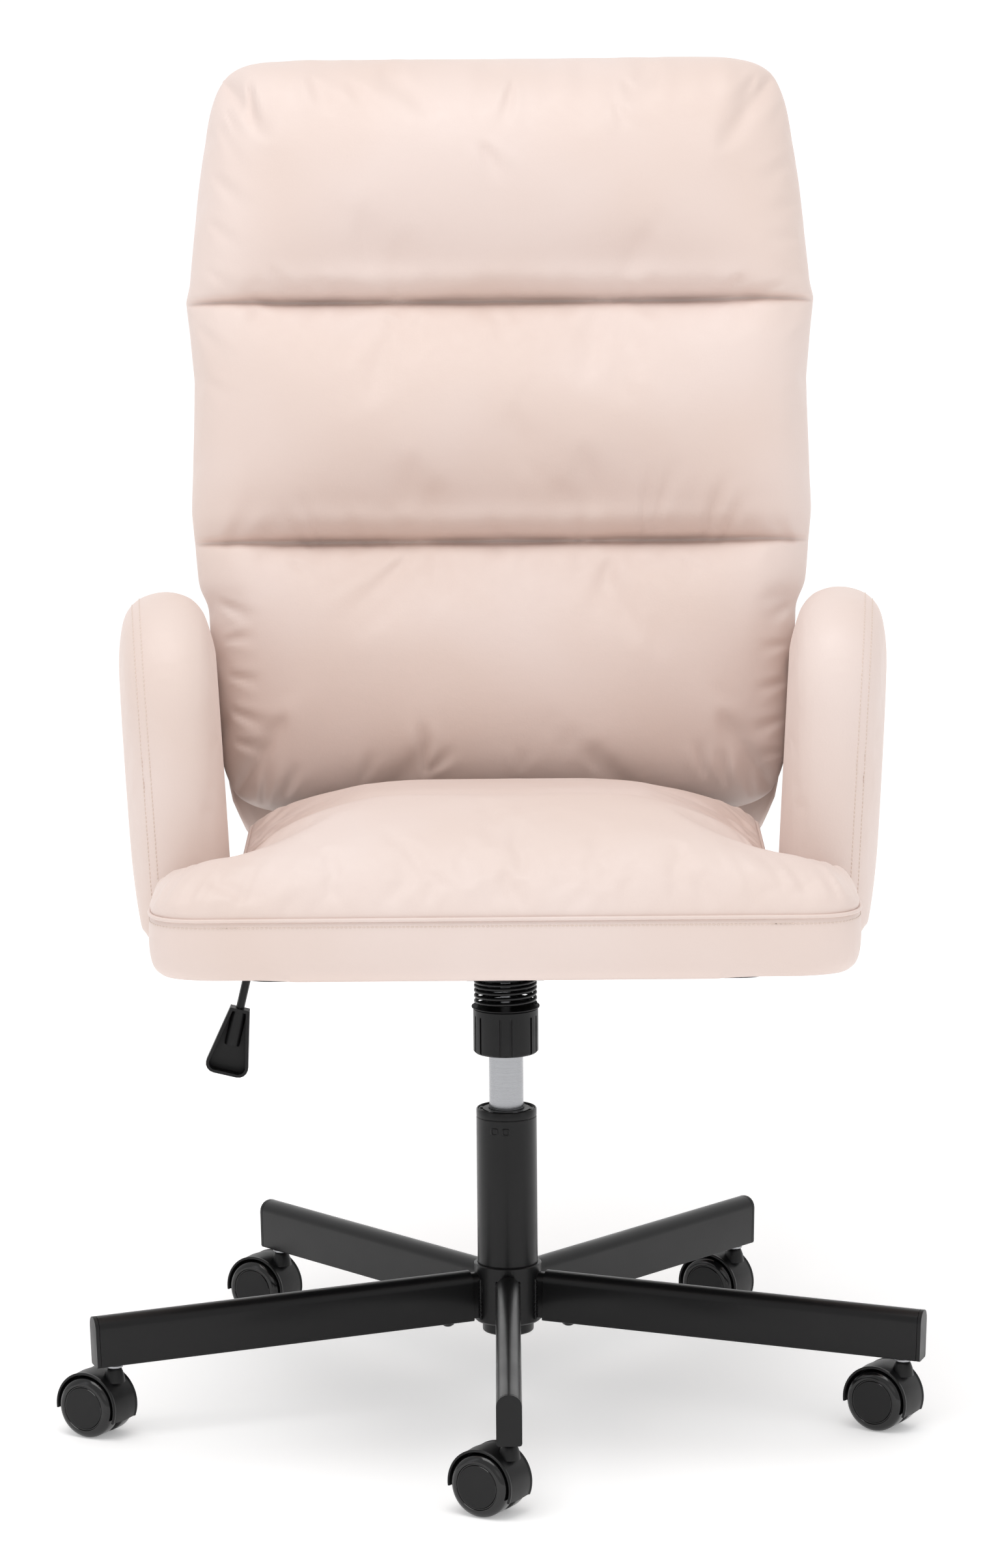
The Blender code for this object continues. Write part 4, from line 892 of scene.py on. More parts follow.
@dataclass
class BackCushion:
    """The back's pillow: one stuffed cover, tied down along two seams across it."""

    palette: Palette
    plane: BackPlane = BackPlane()
    low: float = 0.0354
    high: float = 0.6785
    seams: tuple[float, float] = (0.2662, 0.4695)
    corner: float = 12.0             # how square the corners are; a circle is 2
    rim: float = 0.036               # depth of the rim seam behind the face
    rear: float = 0.0015
    crown: float = 0.086
    valley: float = 0.049
    edge: float = 0.050              # radius of the rolled edges
    over: float = 0.070              # height of the bulge over a seam
    under: float = 0.105             # height of the slope under a seam
    groove: float = 0.0095           # how far a tied seam draws the face in
    groove_width: float = 0.0032
    swell: float = 0.0035            # how far the roll over a seam hangs out
    swell_above: float = 0.017
    pucker: float = 0.00045
    gather: float = 0.0008           # ripple of the cover under its top edge

    def half_width(self, up: np.ndarray) -> np.ndarray:
        """Half the cushion's width at heights along the back."""
        table = np.array(BACK_HALF_WIDTHS)
        return 1.018 * np.interp(up / 1.0125, table[:, 0], table[:, 1])

    def face_depth(self, across: np.ndarray, up: np.ndarray) -> np.ndarray:
        """Depth of the stuffed face between its seams, before the edges roll off."""
        crown = np.ones_like(up)
        for seam in self.seams:
            gap = up - seam
            above = roll(np.abs(gap), self.over, 2.3)
            below = roll(np.abs(gap), self.under, 2.3)
            crown = np.minimum(crown, np.where(gap > 0, above, below))
        ends = 1 - 0.45 * smooth_step(np.abs(across), 0.15, 0.235)
        return self.crown - (self.crown - self.valley) * ends * (1 - crown)

    def grid(self) -> tuple[np.ndarray, np.ndarray]:
        """Columns and rows of the cover's mesh, each from -1 to 1."""
        half = 0.26
        columns = spaced(-half, half, 0.0070, 0.0022, (-half, half), 0.035) / half
        rows = spaced(self.low, self.high, 0.0070, 0.0020,
                      (self.low, *self.seams, self.high), 0.025)
        middle, reach = (self.low + self.high) / 2, (self.high - self.low) / 2
        return columns, (rows - middle) / reach

    def build(self) -> bpy.types.Object:
        """Make, stuff, seam and fold the cushion.

        Returns:
            The cushion, riding on the seat.
        """
        a, b = np.meshgrid(*self.grid())
        middle, reach = (self.low + self.high) / 2, (self.high - self.low) / 2
        square = np.maximum(np.abs(a), np.abs(b))
        pull = square / np.maximum((np.abs(a) ** self.corner + np.abs(b) ** self.corner)
                                   ** (1 / self.corner), 1e-9)
        up = middle + b * pull * reach
        across = a * pull * self.half_width(up)
        edge = (roll((1 - np.abs(a)) * 0.26, self.edge)
                * roll((1 - np.abs(b)) * reach, self.edge))
        front = self.rim + (self.face_depth(across, up) - self.rim) * edge
        behind = self.rim - (self.rim - self.rear) * roll(edge, 0.6)
        rows, columns = a.shape
        on_rim = (np.abs(a) > 1 - 1e-9) | (np.abs(b) > 1 - 1e-9)
        number = np.arange(rows * columns).reshape(rows, columns)
        back_number = number.copy()
        back_number[~on_rim] = rows * columns + np.arange((~on_rim).sum())
        points = np.concatenate([
            self.plane.place(across, up, front).reshape(-1, 3),
            self.plane.place(across, up, behind)[~on_rim]])
        faces = [(number[j, i], number[j, i + 1], number[j + 1, i + 1], number[j + 1, i])
                 for j in range(rows - 1) for i in range(columns - 1)]
        faces += [(back_number[j, i], back_number[j + 1, i], back_number[j + 1, i + 1],
                   back_number[j, i + 1]) for j in range(rows - 1) for i in range(columns - 1)]
        piece = mesh_object("padded_back", points, faces, self.palette.leather, 180.0)
        self.stuff(piece, number, back_number, on_rim, up)
        refine(piece)
        self.fold(piece)
        return mount(piece, "seat", Slot.UPHOLSTERY, "back_cushion")

    def stuff(self, piece: bpy.types.Object, number: np.ndarray, back_number: np.ndarray,
              on_rim: np.ndarray, up: np.ndarray) -> None:
        """Blow the cover up between its seams, then bring its outline back to width."""
        seam = np.min([np.abs(up - s) for s in self.seams], axis=0) < 0.0008
        flat = self.plane.read(corners_of(piece))[2]
        inflate(piece, {1.0: np.unique(np.concatenate([back_number[~on_rim], number[seam]])),
                        0.7: number[on_rim & ~seam]},
                pressure=4.0, cap=0.022, spare=0.006, bend=2.0)
        points = corners_of(piece)
        across, height, out = self.plane.read(points)
        front = number.ravel()
        tight = np.max([np.exp(-((height[front] - s) / 0.022) ** 2) for s in self.seams], axis=0)
        out[front] += (flat[front] - out[front]) * tight
        for row in range(number.shape[0]):
            ring = np.concatenate([number[row], back_number[row][~on_rim[row]]])
            widest = np.abs(across[ring]).max()
            wanted = self.half_width(height[ring].mean())
            if 0 < row < number.shape[0] - 1 and widest > wanted:
                across[ring] *= wanted / widest
        put_corners(piece, self.plane.place(across, height, out))

    def fold(self, piece: bpy.types.Object) -> None:
        """Work the pulls and pleats into the face."""
        points = corners_of(piece)
        across, up, out = self.plane.read(points)
        press = self.seam_press(across, up)
        for seam, shift in zip(self.seams, (0.0128, 0.0100)):
            up = up + shift * np.exp(-((up - seam) / 0.030) ** 2)
        lift = press + sum(fold.height(across, up) for fold in BACK_FOLDS)
        lift = lift * smooth_step(out, self.rim - 0.004, self.rim + 0.016)
        put_corners(piece, points + lift[:, None] * self.plane.forwards())

    def seam_press(self, across: np.ndarray, up: np.ndarray) -> np.ndarray:
        """How far the tied seams draw the face in, and the rolls beside them swell.

        Args:
            across: Place of each point across the back.
            up: Height of each point along the back.

        Returns:
            The shift of each point out of the back.
        """
        middle = 1 - 0.6 * smooth_step(np.abs(across), 0.13, 0.24)
        shift = np.zeros_like(up)
        for number, seam in enumerate(self.seams):
            gap = up - seam
            shift -= self.groove * middle * np.exp(-(gap / self.groove_width) ** 2)
            shift += self.swell * middle * np.exp(-((gap - self.swell_above) / 0.011) ** 2)
            waves = (np.sin(across * 171 + number) + np.sin(across * 263 + 2.1 * number)
                     + 0.8 * np.sin(across * 97 - 1.3))
            near = np.exp(-((np.abs(gap) - 0.009) / 0.010) ** 2)
            shift += self.pucker * waves * near * smooth_step(np.abs(gap), 0.0015, 0.007)
        gathers = np.sin(across * 142) + np.sin(across * 231 + 1.0) + 0.7 * np.sin(across * 67 + 2.0)
        top = smooth_step(up, self.high - 0.060, self.high - 0.012)
        return shift + self.gather * gathers * top


@dataclass
class RearPanel:
    """The upholstered outer back and the plywood seat board in one shell."""

    palette: Palette
    plane: BackPlane = BackPlane()
    low: float = 0.000
    high: float = 0.6620
    thickness: float = 0.0260
    inset: float = 0.0010
    corner: float = 12.0
    edge: float = 0.011

    def build(self) -> list[bpy.types.Object]:
        """Make the panel, its welt and the board.

        Returns:
            The pieces, riding on the seat.
        """
        panel = self.panel()
        board_low, board_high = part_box("shell")
        board = self.board(board_low, board_high)
        return [mount(panel, "seat", Slot.UPHOLSTERY, "shell"),
                mount(board, "seat", Slot.BOARD, "shell"), self.welt()]

    def outline(self, inset: float, count: int = 220) -> tuple[np.ndarray, np.ndarray]:
        """The panel's rim, inset by a distance: across and up."""
        turn = np.linspace(0, 2 * math.pi, count, endpoint=False)
        x, y = np.cos(turn), np.sin(turn)
        size = (np.abs(x) ** self.corner + np.abs(y) ** self.corner) ** (-1 / self.corner)
        middle, reach = (self.low + self.high) / 2, (self.high - self.low) / 2 - inset
        up = middle + y * size * reach
        table = np.array(BACK_HALF_WIDTHS)
        half = np.interp(up, table[:, 0], table[:, 1]) - self.inset - inset
        return x * size * half, up

    def panel(self) -> bpy.types.Object:
        """A padded slab with rolled edges and a slightly crowned rear face."""
        rings: list[np.ndarray] = []
        for inset, out in ((0.200, 0.003), (self.edge, 0.003), (0.003, 0.001), (0.0, -0.004),
                           (0.0, -self.thickness + 0.008), (0.0025, -self.thickness + 0.0025),
                           (self.edge, -self.thickness), (0.030, -self.thickness - 0.0022),
                           (0.080, -self.thickness - 0.0042), (0.150, -self.thickness - 0.0050),
                           (0.205, -self.thickness - 0.0052)):
            across, up = self.outline(inset)
            rings.append(self.plane.place(across, up, np.full_like(up, out)))
        around = len(rings[0])
        faces = capped_faces(len(rings), around)
        piece = mesh_object("outer_back", np.concatenate(rings), faces, self.palette.leather, 180.0)
        return piece

    def welt(self) -> bpy.types.Object:
        """Piping round the outer back's rear edge."""
        across, up = self.outline(0.0035)
        path = self.plane.place(across, up, np.full_like(up, -self.thickness + 0.0035))
        return mount(swept("outer_back_welt", path, 0.0022, self.palette.leather, 10, True),
                     "seat", Slot.UPHOLSTERY)

    def board(self, low: Vector, high: Vector) -> bpy.types.Object:
        """The seat board, wrapped in dust cloth, with eased corners."""
        top, foot = low.z + 0.0098, low.z
        front, rear, half = low.y, self.plane.foot_y - 0.004, 0.205
        corner, count = 0.020, 8
        plan = []
        for cx, cy, start in ((half - corner, front + corner, -90), (half - corner, rear - corner, 0),
                              (-half + corner, rear - corner, 90),
                              (-half + corner, front + corner, 180)):
            plan += [(cx + corner * math.cos(math.radians(start + 90 * k / count)),
                      cy + corner * math.sin(math.radians(start + 90 * k / count)))
                     for k in range(count + 1)]
        flat = np.array(plan)
        rings = []
        for inset, z in ((0.0015, foot), (0.0, foot + 0.0015), (0.0, top - 0.0015), (0.0015, top)):
            centre = flat.mean(0)
            ring = centre + (flat - centre) * (1 - inset / half)
            rings.append(np.column_stack([ring, np.full(len(ring), z)]))
        around = len(flat)
        faces: list[tuple[int, ...]] = list(ring_faces(len(rings), around))
        faces += [tuple(range(around)), tuple(range(3 * around, 4 * around))]
        return mesh_object("seat_board", np.concatenate(rings), faces, self.palette.cloth)


@dataclass
class SeatCushion:
    """T-shaped seat: a boxed cushion with a welt round its face and a crowned top."""

    palette: Palette
    welt_z: float = 0.4545
    front: float = -0.2700
    rear: float = 0.1550
    ear_rear: float = -0.1720
    ear: float = 0.2755
    waist: float = 0.2115
    front_corner: float = 0.042
    crest: float = 0.519
    crest_y: float = -0.150
    rear_height: float = 0.482
    voxel: float = 0.0055

    def outline(self, inset: float = 0.0) -> np.ndarray:
        """The T-shaped plan with rounded corners, inset by a distance, evenly spaced."""
        ear, front, rear = self.ear - inset, self.front + inset, self.rear - inset
        waist, ear_rear = self.waist - inset, self.ear_rear - inset
        corners = [(0.0, front, 0.0), (ear, front, self.front_corner), (ear, ear_rear, 0.012),
                   (waist, ear_rear, 0.010), (waist, rear, 0.020), (0.0, rear, 0.0)]
        points: list[np.ndarray] = []
        for (before, here, after) in zip(corners, corners[1:], corners[2:]):
            spot, radius = np.array(here[:2]), here[2]
            to_before = np.array(before[:2]) - spot
            to_after = np.array(after[:2]) - spot
            start = spot + to_before / np.linalg.norm(to_before) * radius
            end = spot + to_after / np.linalg.norm(to_after) * radius
            for t in np.linspace(0, 1, 9):
                bow = start * (1 - t) ** 2 + 2 * spot * t * (1 - t) + end * t ** 2
                points.append(bow)
        right = np.array([(0.0, front), *points, (0.0, rear)])
        whole = np.concatenate([right, (right * (-1, 1))[::-1][1:-1]])
        loop = np.vstack([whole, whole[:1]])
        run = np.concatenate([[0], np.cumsum(np.linalg.norm(np.diff(loop, axis=0), axis=1))])
        marks = np.linspace(0, run[-1], 400, endpoint=False)
        return np.column_stack([np.interp(marks, run, loop[:, 0]), np.interp(marks, run, loop[:, 1])])

    def to_rim(self, plan: np.ndarray) -> np.ndarray:
        """Distance from points of the plan to its rim."""
        rim = self.outline()
        return np.array([np.min(np.hypot(rim[:, 0] - x, rim[:, 1] - y)) for x, y in plan])

    def top_height(self, plan: np.ndarray) -> np.ndarray:
        """Height of the crowned top over points of the plan."""
        y = plan[:, 1]
        slope = (self.crest - self.rear_height) / (self.rear - self.crest_y)
        behind = self.crest - slope * np.clip(y - self.crest_y, 0, None)
        radius = 0.125 - 0.085 * smooth_step(y, -0.21, -0.12)
        x = np.abs(plan[:, 0])
        side = 1 - 0.30 * smooth_step(x, 0.10, 0.27) * (1 - smooth_step(y, -0.19, -0.10))
        flank = roll(self.waist + 0.006 - x, 0.150, 2.0)
        side *= 1 - (1 - flank) * smooth_step(y, -0.20, -0.09)
        dip = (0.0050 * np.exp(-((y - self.crest_y - 0.055) / 0.028) ** 2)
               * (1 - smooth_step(x, 0.10, 0.20)))
        full = self.welt_z + (behind - self.welt_z) * side * roll(self.to_rim(plan), radius, 2.1)
        return full - dip

    def build(self) -> list[bpy.types.Object]:
        """Make, stuff and fold the cushion, then sew its welt and topstitch.

        Returns:
            The cushion, the welt and the stitches, riding on the seat.
        """
        low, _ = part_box("seat_cushion")
        centre = np.array((0.0, -0.195))
        rings: list[np.ndarray] = []
        hem = low.z - 0.0035
        for inset, z in ((0.100, hem), (0.016, hem), (0.006, hem + 0.0025),
                         (0.0012, hem + 0.010), (0.0, low.z + 0.018), (-0.0006, low.z + 0.028),
                         (0.0, low.z + 0.038), (0.0008, self.welt_z - 0.002)):
            plan = self.outline(inset)
            rings.append(np.column_stack([plan, np.full(len(plan), z)]))
        rim = self.outline(0.001)
        for share in (0.0, 0.006, 0.014, 0.026, 0.042, 0.062, 0.086, 0.114, 0.146, 0.182, 0.222,
                      0.266, 0.314, 0.366, 0.42, 0.48, 0.54, 0.60, 0.66, 0.72, 0.78, 0.84, 0.90, 0.95):
            plan = centre + (rim - centre) * (1 - share)
            rings.append(np.column_stack([plan, self.top_height(plan)]))
        around = len(rim)
        faces = capped_faces(len(rings), around)
        piece = mesh_object("padded_seat", np.concatenate(rings), faces, self.palette.leather, 180.0)
        remesh(piece, self.voxel)
        points = corners_of(piece)
        fixed = np.where(points[:, 2] < self.welt_z + 0.004)[0]
        inflate(piece, {1.0: fixed}, pressure=2.5, cap=0.012, spare=0.012, bend=0.6)
        refine(piece)
        self.crease(piece)
        mount(piece, "seat", Slot.UPHOLSTERY, "seat_cushion")
        return [piece, self.welt(), self.topstitch(piece)]

    def crease(self, piece: bpy.types.Object) -> None:
        """Sink the welt's seam and gather the cover over it."""
        points = corners_of(piece)
        plan, z = points[:, :2], points[:, 2]
        near = np.where((np.abs(z - self.welt_z) < 0.06) & (z > self.welt_z - 0.010))[0]
        distance = self.to_rim(plan[near])
        rim_near = distance < 0.05
        near, distance = near[rim_near], distance[rim_near]
        centre = np.array((0.0, -0.10))
        inward = centre - plan[near]
        inward /= np.linalg.norm(inward, axis=1)[:, None]
        groove = 0.0012 * np.exp(-((z[near] - self.welt_z) / 0.0030) ** 2) * (distance < 0.012)
        points[near, :2] += inward * groove[:, None]
        x, y = points[near, 0], points[near, 1]
        run = x + 0.6 * y * np.sign(x)
        wave = (np.sin(run * 2 * math.pi / 0.0205) + 0.6 * np.sin(run * 2 * math.pi / 0.0131 + 1.3)
                + 0.5 * np.sin(run * 2 * math.pi / 0.0347 + 0.4))
        over = smooth_step(z[near], self.welt_z + 0.001, self.welt_z + 0.010) \
            * (1 - smooth_step(distance, 0.012, 0.048))
        corner = 0.22 + 0.78 * smooth_step(np.abs(x), 0.12, 0.25)
        points[near, 2] += 0.0009 * wave * over * corner
        put_corners(piece, points)

    def welt(self) -> bpy.types.Object:
        """Piping sewn between the top and the boxing."""
        plan = self.outline(0.0006)
        path = np.column_stack([plan, np.full(len(plan), self.welt_z)])
        return mount(swept("seat_welt", path, 0.0016, self.palette.leather, 10, True),
                     "seat", Slot.UPHOLSTERY)

    def topstitch(self, piece: bpy.types.Object) -> bpy.types.Object:
        """A row of stitches on the boxing, just under the welt."""
        skin = Surface.of(piece)
        rim = self.outline(-0.020)
        ahead = np.roll(rim, -1, 0) - np.roll(rim, 1, 0)
        inward = np.column_stack([-ahead[:, 1], ahead[:, 0]])
        inward /= np.linalg.norm(inward, axis=1)[:, None]
        line = []
        for (x, y), (u, v) in zip(rim, inward):
            if y > self.ear_rear - 0.004:
                continue
            hit = skin.drop((x, y, self.welt_z - 0.0055), (u, v, 0.0))
            if hit:
                line.append((float(x), hit))
        line.sort(key=lambda entry: entry[0])
        left = [e for e in line if e[0] < -0.2]
        right = [e for e in line if e[0] > 0.2]
        front = [e for e in line if abs(e[0]) <= 0.2]
        order = (sorted(left, key=lambda e: -e[1][0].y) + front
                 + sorted(right, key=lambda e: e[1][0].y))
        return mount(stitched("seat_topstitch", [e[1] for e in order], STITCH_PITCH, THREAD_RADIUS,
                              self.palette.thread), "seat", Slot.UPHOLSTERY)


@dataclass
class ArmPad:
    """An upholstered arm panel with a full-round top and a twin-needle seam in front."""

    palette: Palette
    side: Side
    thickness: float = 0.0700
    lean: float = math.radians(3.0)
    toe: float = math.radians(3.2)
    fall: float = math.radians(11.5)
    toe_y: float = -0.1680
    outer_foot: float = 0.2850
    low: float = 0.4120
    high: float = 0.6815
    front: float = -0.1660
    front_radius: float = 0.085
    foot_y: float = 0.288
    lean_z: float = 0.4100           # height of the line that the arm leans about
    sewn: int = 43                   # outline points up the front and over the top
    recline: float = math.radians(10.0)
    edge: float = 0.034
    voxel: float = 0.0055

    def outline(self, inset: float) -> np.ndarray:
        """Side view of the panel, inset by a distance: y and z."""
        low, high, front = self.low + inset * 0.4, self.high - inset, self.front + inset
        radius = max(self.front_radius - inset, 0.02)
        points = [(front, low)]
        points += [(front, z) for z in np.linspace(low, high - radius, 12)[1:-1]]
        points += [(front + radius * (1 - math.cos(a)), high - radius + radius * math.sin(a))
                   for a in np.linspace(0, math.pi / 2 + self.fall, 16)]
        tan, fall = math.tan(self.recline), math.tan(self.fall)
        top_y, top_z = points[-1]
        rear_top = (self.foot_y - inset + (top_z + top_y * fall - BackPlane.foot_z) * tan) / (1 + fall * tan)
        rear_z = top_z - (rear_top - top_y) * fall
        rear_low = self.foot_y + (low - BackPlane.foot_z) * tan - inset
        points += [(y, z) for y, z in zip(np.linspace(top_y, rear_top, 18)[1:],
                                          np.linspace(top_z, rear_z, 18)[1:])]
        points += [(y, z) for y, z in zip(np.linspace(rear_top, rear_low, 14)[1:],
                                          np.linspace(rear_z, low, 14)[1:])]
        points += [(y, low) for y in np.linspace(rear_low, front, 20)[1:-1]]
        return np.array(points)

    def place(self, across: np.ndarray, y: np.ndarray, z: np.ndarray) -> np.ndarray:
        """Lean the panel outwards and put it on its side; across runs outwards."""
        s, c = math.sin(self.lean), math.cos(self.lean)
        rise = z - self.lean_z
        x = self.outer_foot + (across - self.thickness / 2) * c + rise * s
        height = self.lean_z - (across - self.thickness / 2) * s + rise * c
        s, c = math.sin(self.toe), math.cos(self.toe)
        beside, behind = x - self.outer_foot, y - self.toe_y
        x = self.outer_foot + beside * c + behind * s
        return np.stack([x * self.side.value, self.toe_y - beside * s + behind * c, height], -1)

    def build(self) -> list[bpy.types.Object]:
        """Make, stuff and sew the arm.

        Returns:
            The arm and its stitches, riding on the seat.
        """
        half = self.thickness / 2
        rings: list[np.ndarray] = []
        steps = np.sin(np.linspace(-math.pi / 2, math.pi / 2, 15))
        for share in (0.10, 0.06):
            plan = self.outline(share)
            rings.append(self.place(np.full(len(plan), -half + 0.0005 * share), plan[:, 0], plan[:, 1]))
        for c in steps:
            inset = self.edge * (1 - (1 - abs(c) ** 2.25) ** (1 / 2.25))
            plan = self.outline(inset)
            rings.append(self.place(np.full(len(plan), c * half), plan[:, 0], plan[:, 1]))
        for share in (0.06, 0.10):
            plan = self.outline(share)
            rings.append(self.place(np.full(len(plan), half - 0.0005 * share), plan[:, 0], plan[:, 1]))
        around = len(rings[0])
        faces = capped_faces(len(rings), around)
        name = self.side.name.lower()
        piece = mesh_object(f"padded_arm_{name}", np.concatenate(rings), faces,
                            self.palette.leather, 180.0)
        remesh(piece, self.voxel)
        points = corners_of(piece)
        fixed = np.where((points[:, 2] < self.low + 0.012) | (points[:, 1] > 0.24))[0]
        inflate(piece, {1.0: fixed}, pressure=1.5, cap=0.004, bend=1.5, frames=12)
        refine(piece)
        mount(piece, "seat", Slot.UPHOLSTERY, f"arm_{name}")
        return [piece, self.needle_rows(piece)]

    def needle_rows(self, piece: bpy.types.Object) -> bpy.types.Object:
        """Two rows of stitches up the front and over the top, near the outer edge."""
        skin = Surface.of(piece)
        rows = []
        for across in (0.0245, 0.0185):
            line = []
            plan = self.outline(0.0)
            for (y, z) in plan[:self.sewn]:
                around_y, around_z = self.front + self.front_radius, self.high - self.front_radius
                start_y = -0.40 if z < around_z else y + (y - around_y) * 2
                start_z = z if z < around_z else z + (z - around_z) * 2
                if y > around_y:
                    start_y, start_z = y, z + 0.2
                start = self.place(np.array(across), np.array(start_y), np.array(start_z))
                goal = self.place(np.array(across), np.array(y if y > around_y else around_y),
                                  np.array(z if z < around_z else around_z))
                way = Vector(goal) - Vector(start)
                hit = skin.drop(tuple(start), way.normalized())
                if hit:
                    line.append(hit)
            rows.append(line)
        name = self.side.name.lower()
        first = stitched(f"arm_stitches_{name}", rows[0], STITCH_PITCH, THREAD_RADIUS, self.palette.thread)
        second = stitched("second_row", rows[1], STITCH_PITCH, THREAD_RADIUS, self.palette.thread)
        both = bmesh.new()
        both.from_mesh(first.data)
        both.from_mesh(second.data)
        both.to_mesh(first.data)
        both.free()
        bpy.data.objects.remove(second, do_unlink=True)
        return mount(first, "seat", Slot.UPHOLSTERY)


# ------------------------------------------------------------------ base, casters, column
@dataclass
class CadDresser:
    """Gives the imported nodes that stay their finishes, smooth shading and eased edges."""

    palette: Palette
    ease: float = 0.00045
    smooth_below: float = 38.0       # degrees

    def shading(self) -> bpy.types.NodeTree:
        """A modifier that joins loose corners and shades shallow edges smooth."""
        group = bpy.data.node_groups.new("smooth_shading", "GeometryNodeTree")
        group.interface.new_socket("Geometry", in_out="INPUT", socket_type="NodeSocketGeometry")
        group.interface.new_socket("Geometry", in_out="OUTPUT", socket_type="NodeSocketGeometry")
        start = add_node(group, "NodeGroupInput")
        joined = add_node(group, "GeometryNodeMergeByDistance",
                          {"Geometry": start.outputs[0], "Distance": 0.00001})
        bare = joined.outputs[0]
        for name in ("custom_normal", "sharp_face", "sharp_edge"):
            bare = add_node(group, "GeometryNodeRemoveAttribute",
                            {"Geometry": bare, "Name": name}).outputs[0]
        faces = add_node(group, "GeometryNodeSetShadeSmooth",
                         {"Geometry": bare, "Shade Smooth": True}, domain="FACE")
        angle = add_node(group, "GeometryNodeInputMeshEdgeAngle")
        shallow = add_node(group, "FunctionNodeCompare",
                           {0: angle.outputs[0], 1: math.radians(self.smooth_below)},
                           operation="LESS_THAN")
        edges = add_node(group, "GeometryNodeSetShadeSmooth",
                         {"Geometry": faces.outputs[0], "Shade Smooth": shallow.outputs[0]},
                         domain="EDGE")
        add_node(group, "NodeGroupOutput", {0: edges.outputs[0]})
        return group

    def dress(self) -> None:
        """Dress every node that is still shown."""
        looks = {Slot.STEEL.value: self.palette.powder, Slot.NYLON.value: self.palette.nylon,
                 Slot.TYRE.value: self.palette.tread, Slot.BRIGHT.value: self.palette.steel,
                 Slot.SPRING.value: self.palette.oiled, Slot.BOARD.value: self.palette.cloth,
                 Slot.UPHOLSTERY.value: self.palette.leather}
        group = self.shading()
        for name, node in frame["nodes"].items():
            if node.hide_render:
                continue
            for holder in node.material_slots:
                if holder.material and holder.material.name.split(".")[0] in looks:
                    holder.material = looks[holder.material.name.split(".")[0]]
            smooth = node.modifiers.new("smooth", "NODES")
            smooth.node_group = group
            eased = node.modifiers.new("eased", "BEVEL")
            eased.width = self.ease
            eased.segments = 2
            eased.limit_method = "ANGLE"
            eased.angle_limit = math.radians(self.smooth_below)
            eased.harden_normals = True
            LOG.info("%s dressed", name)


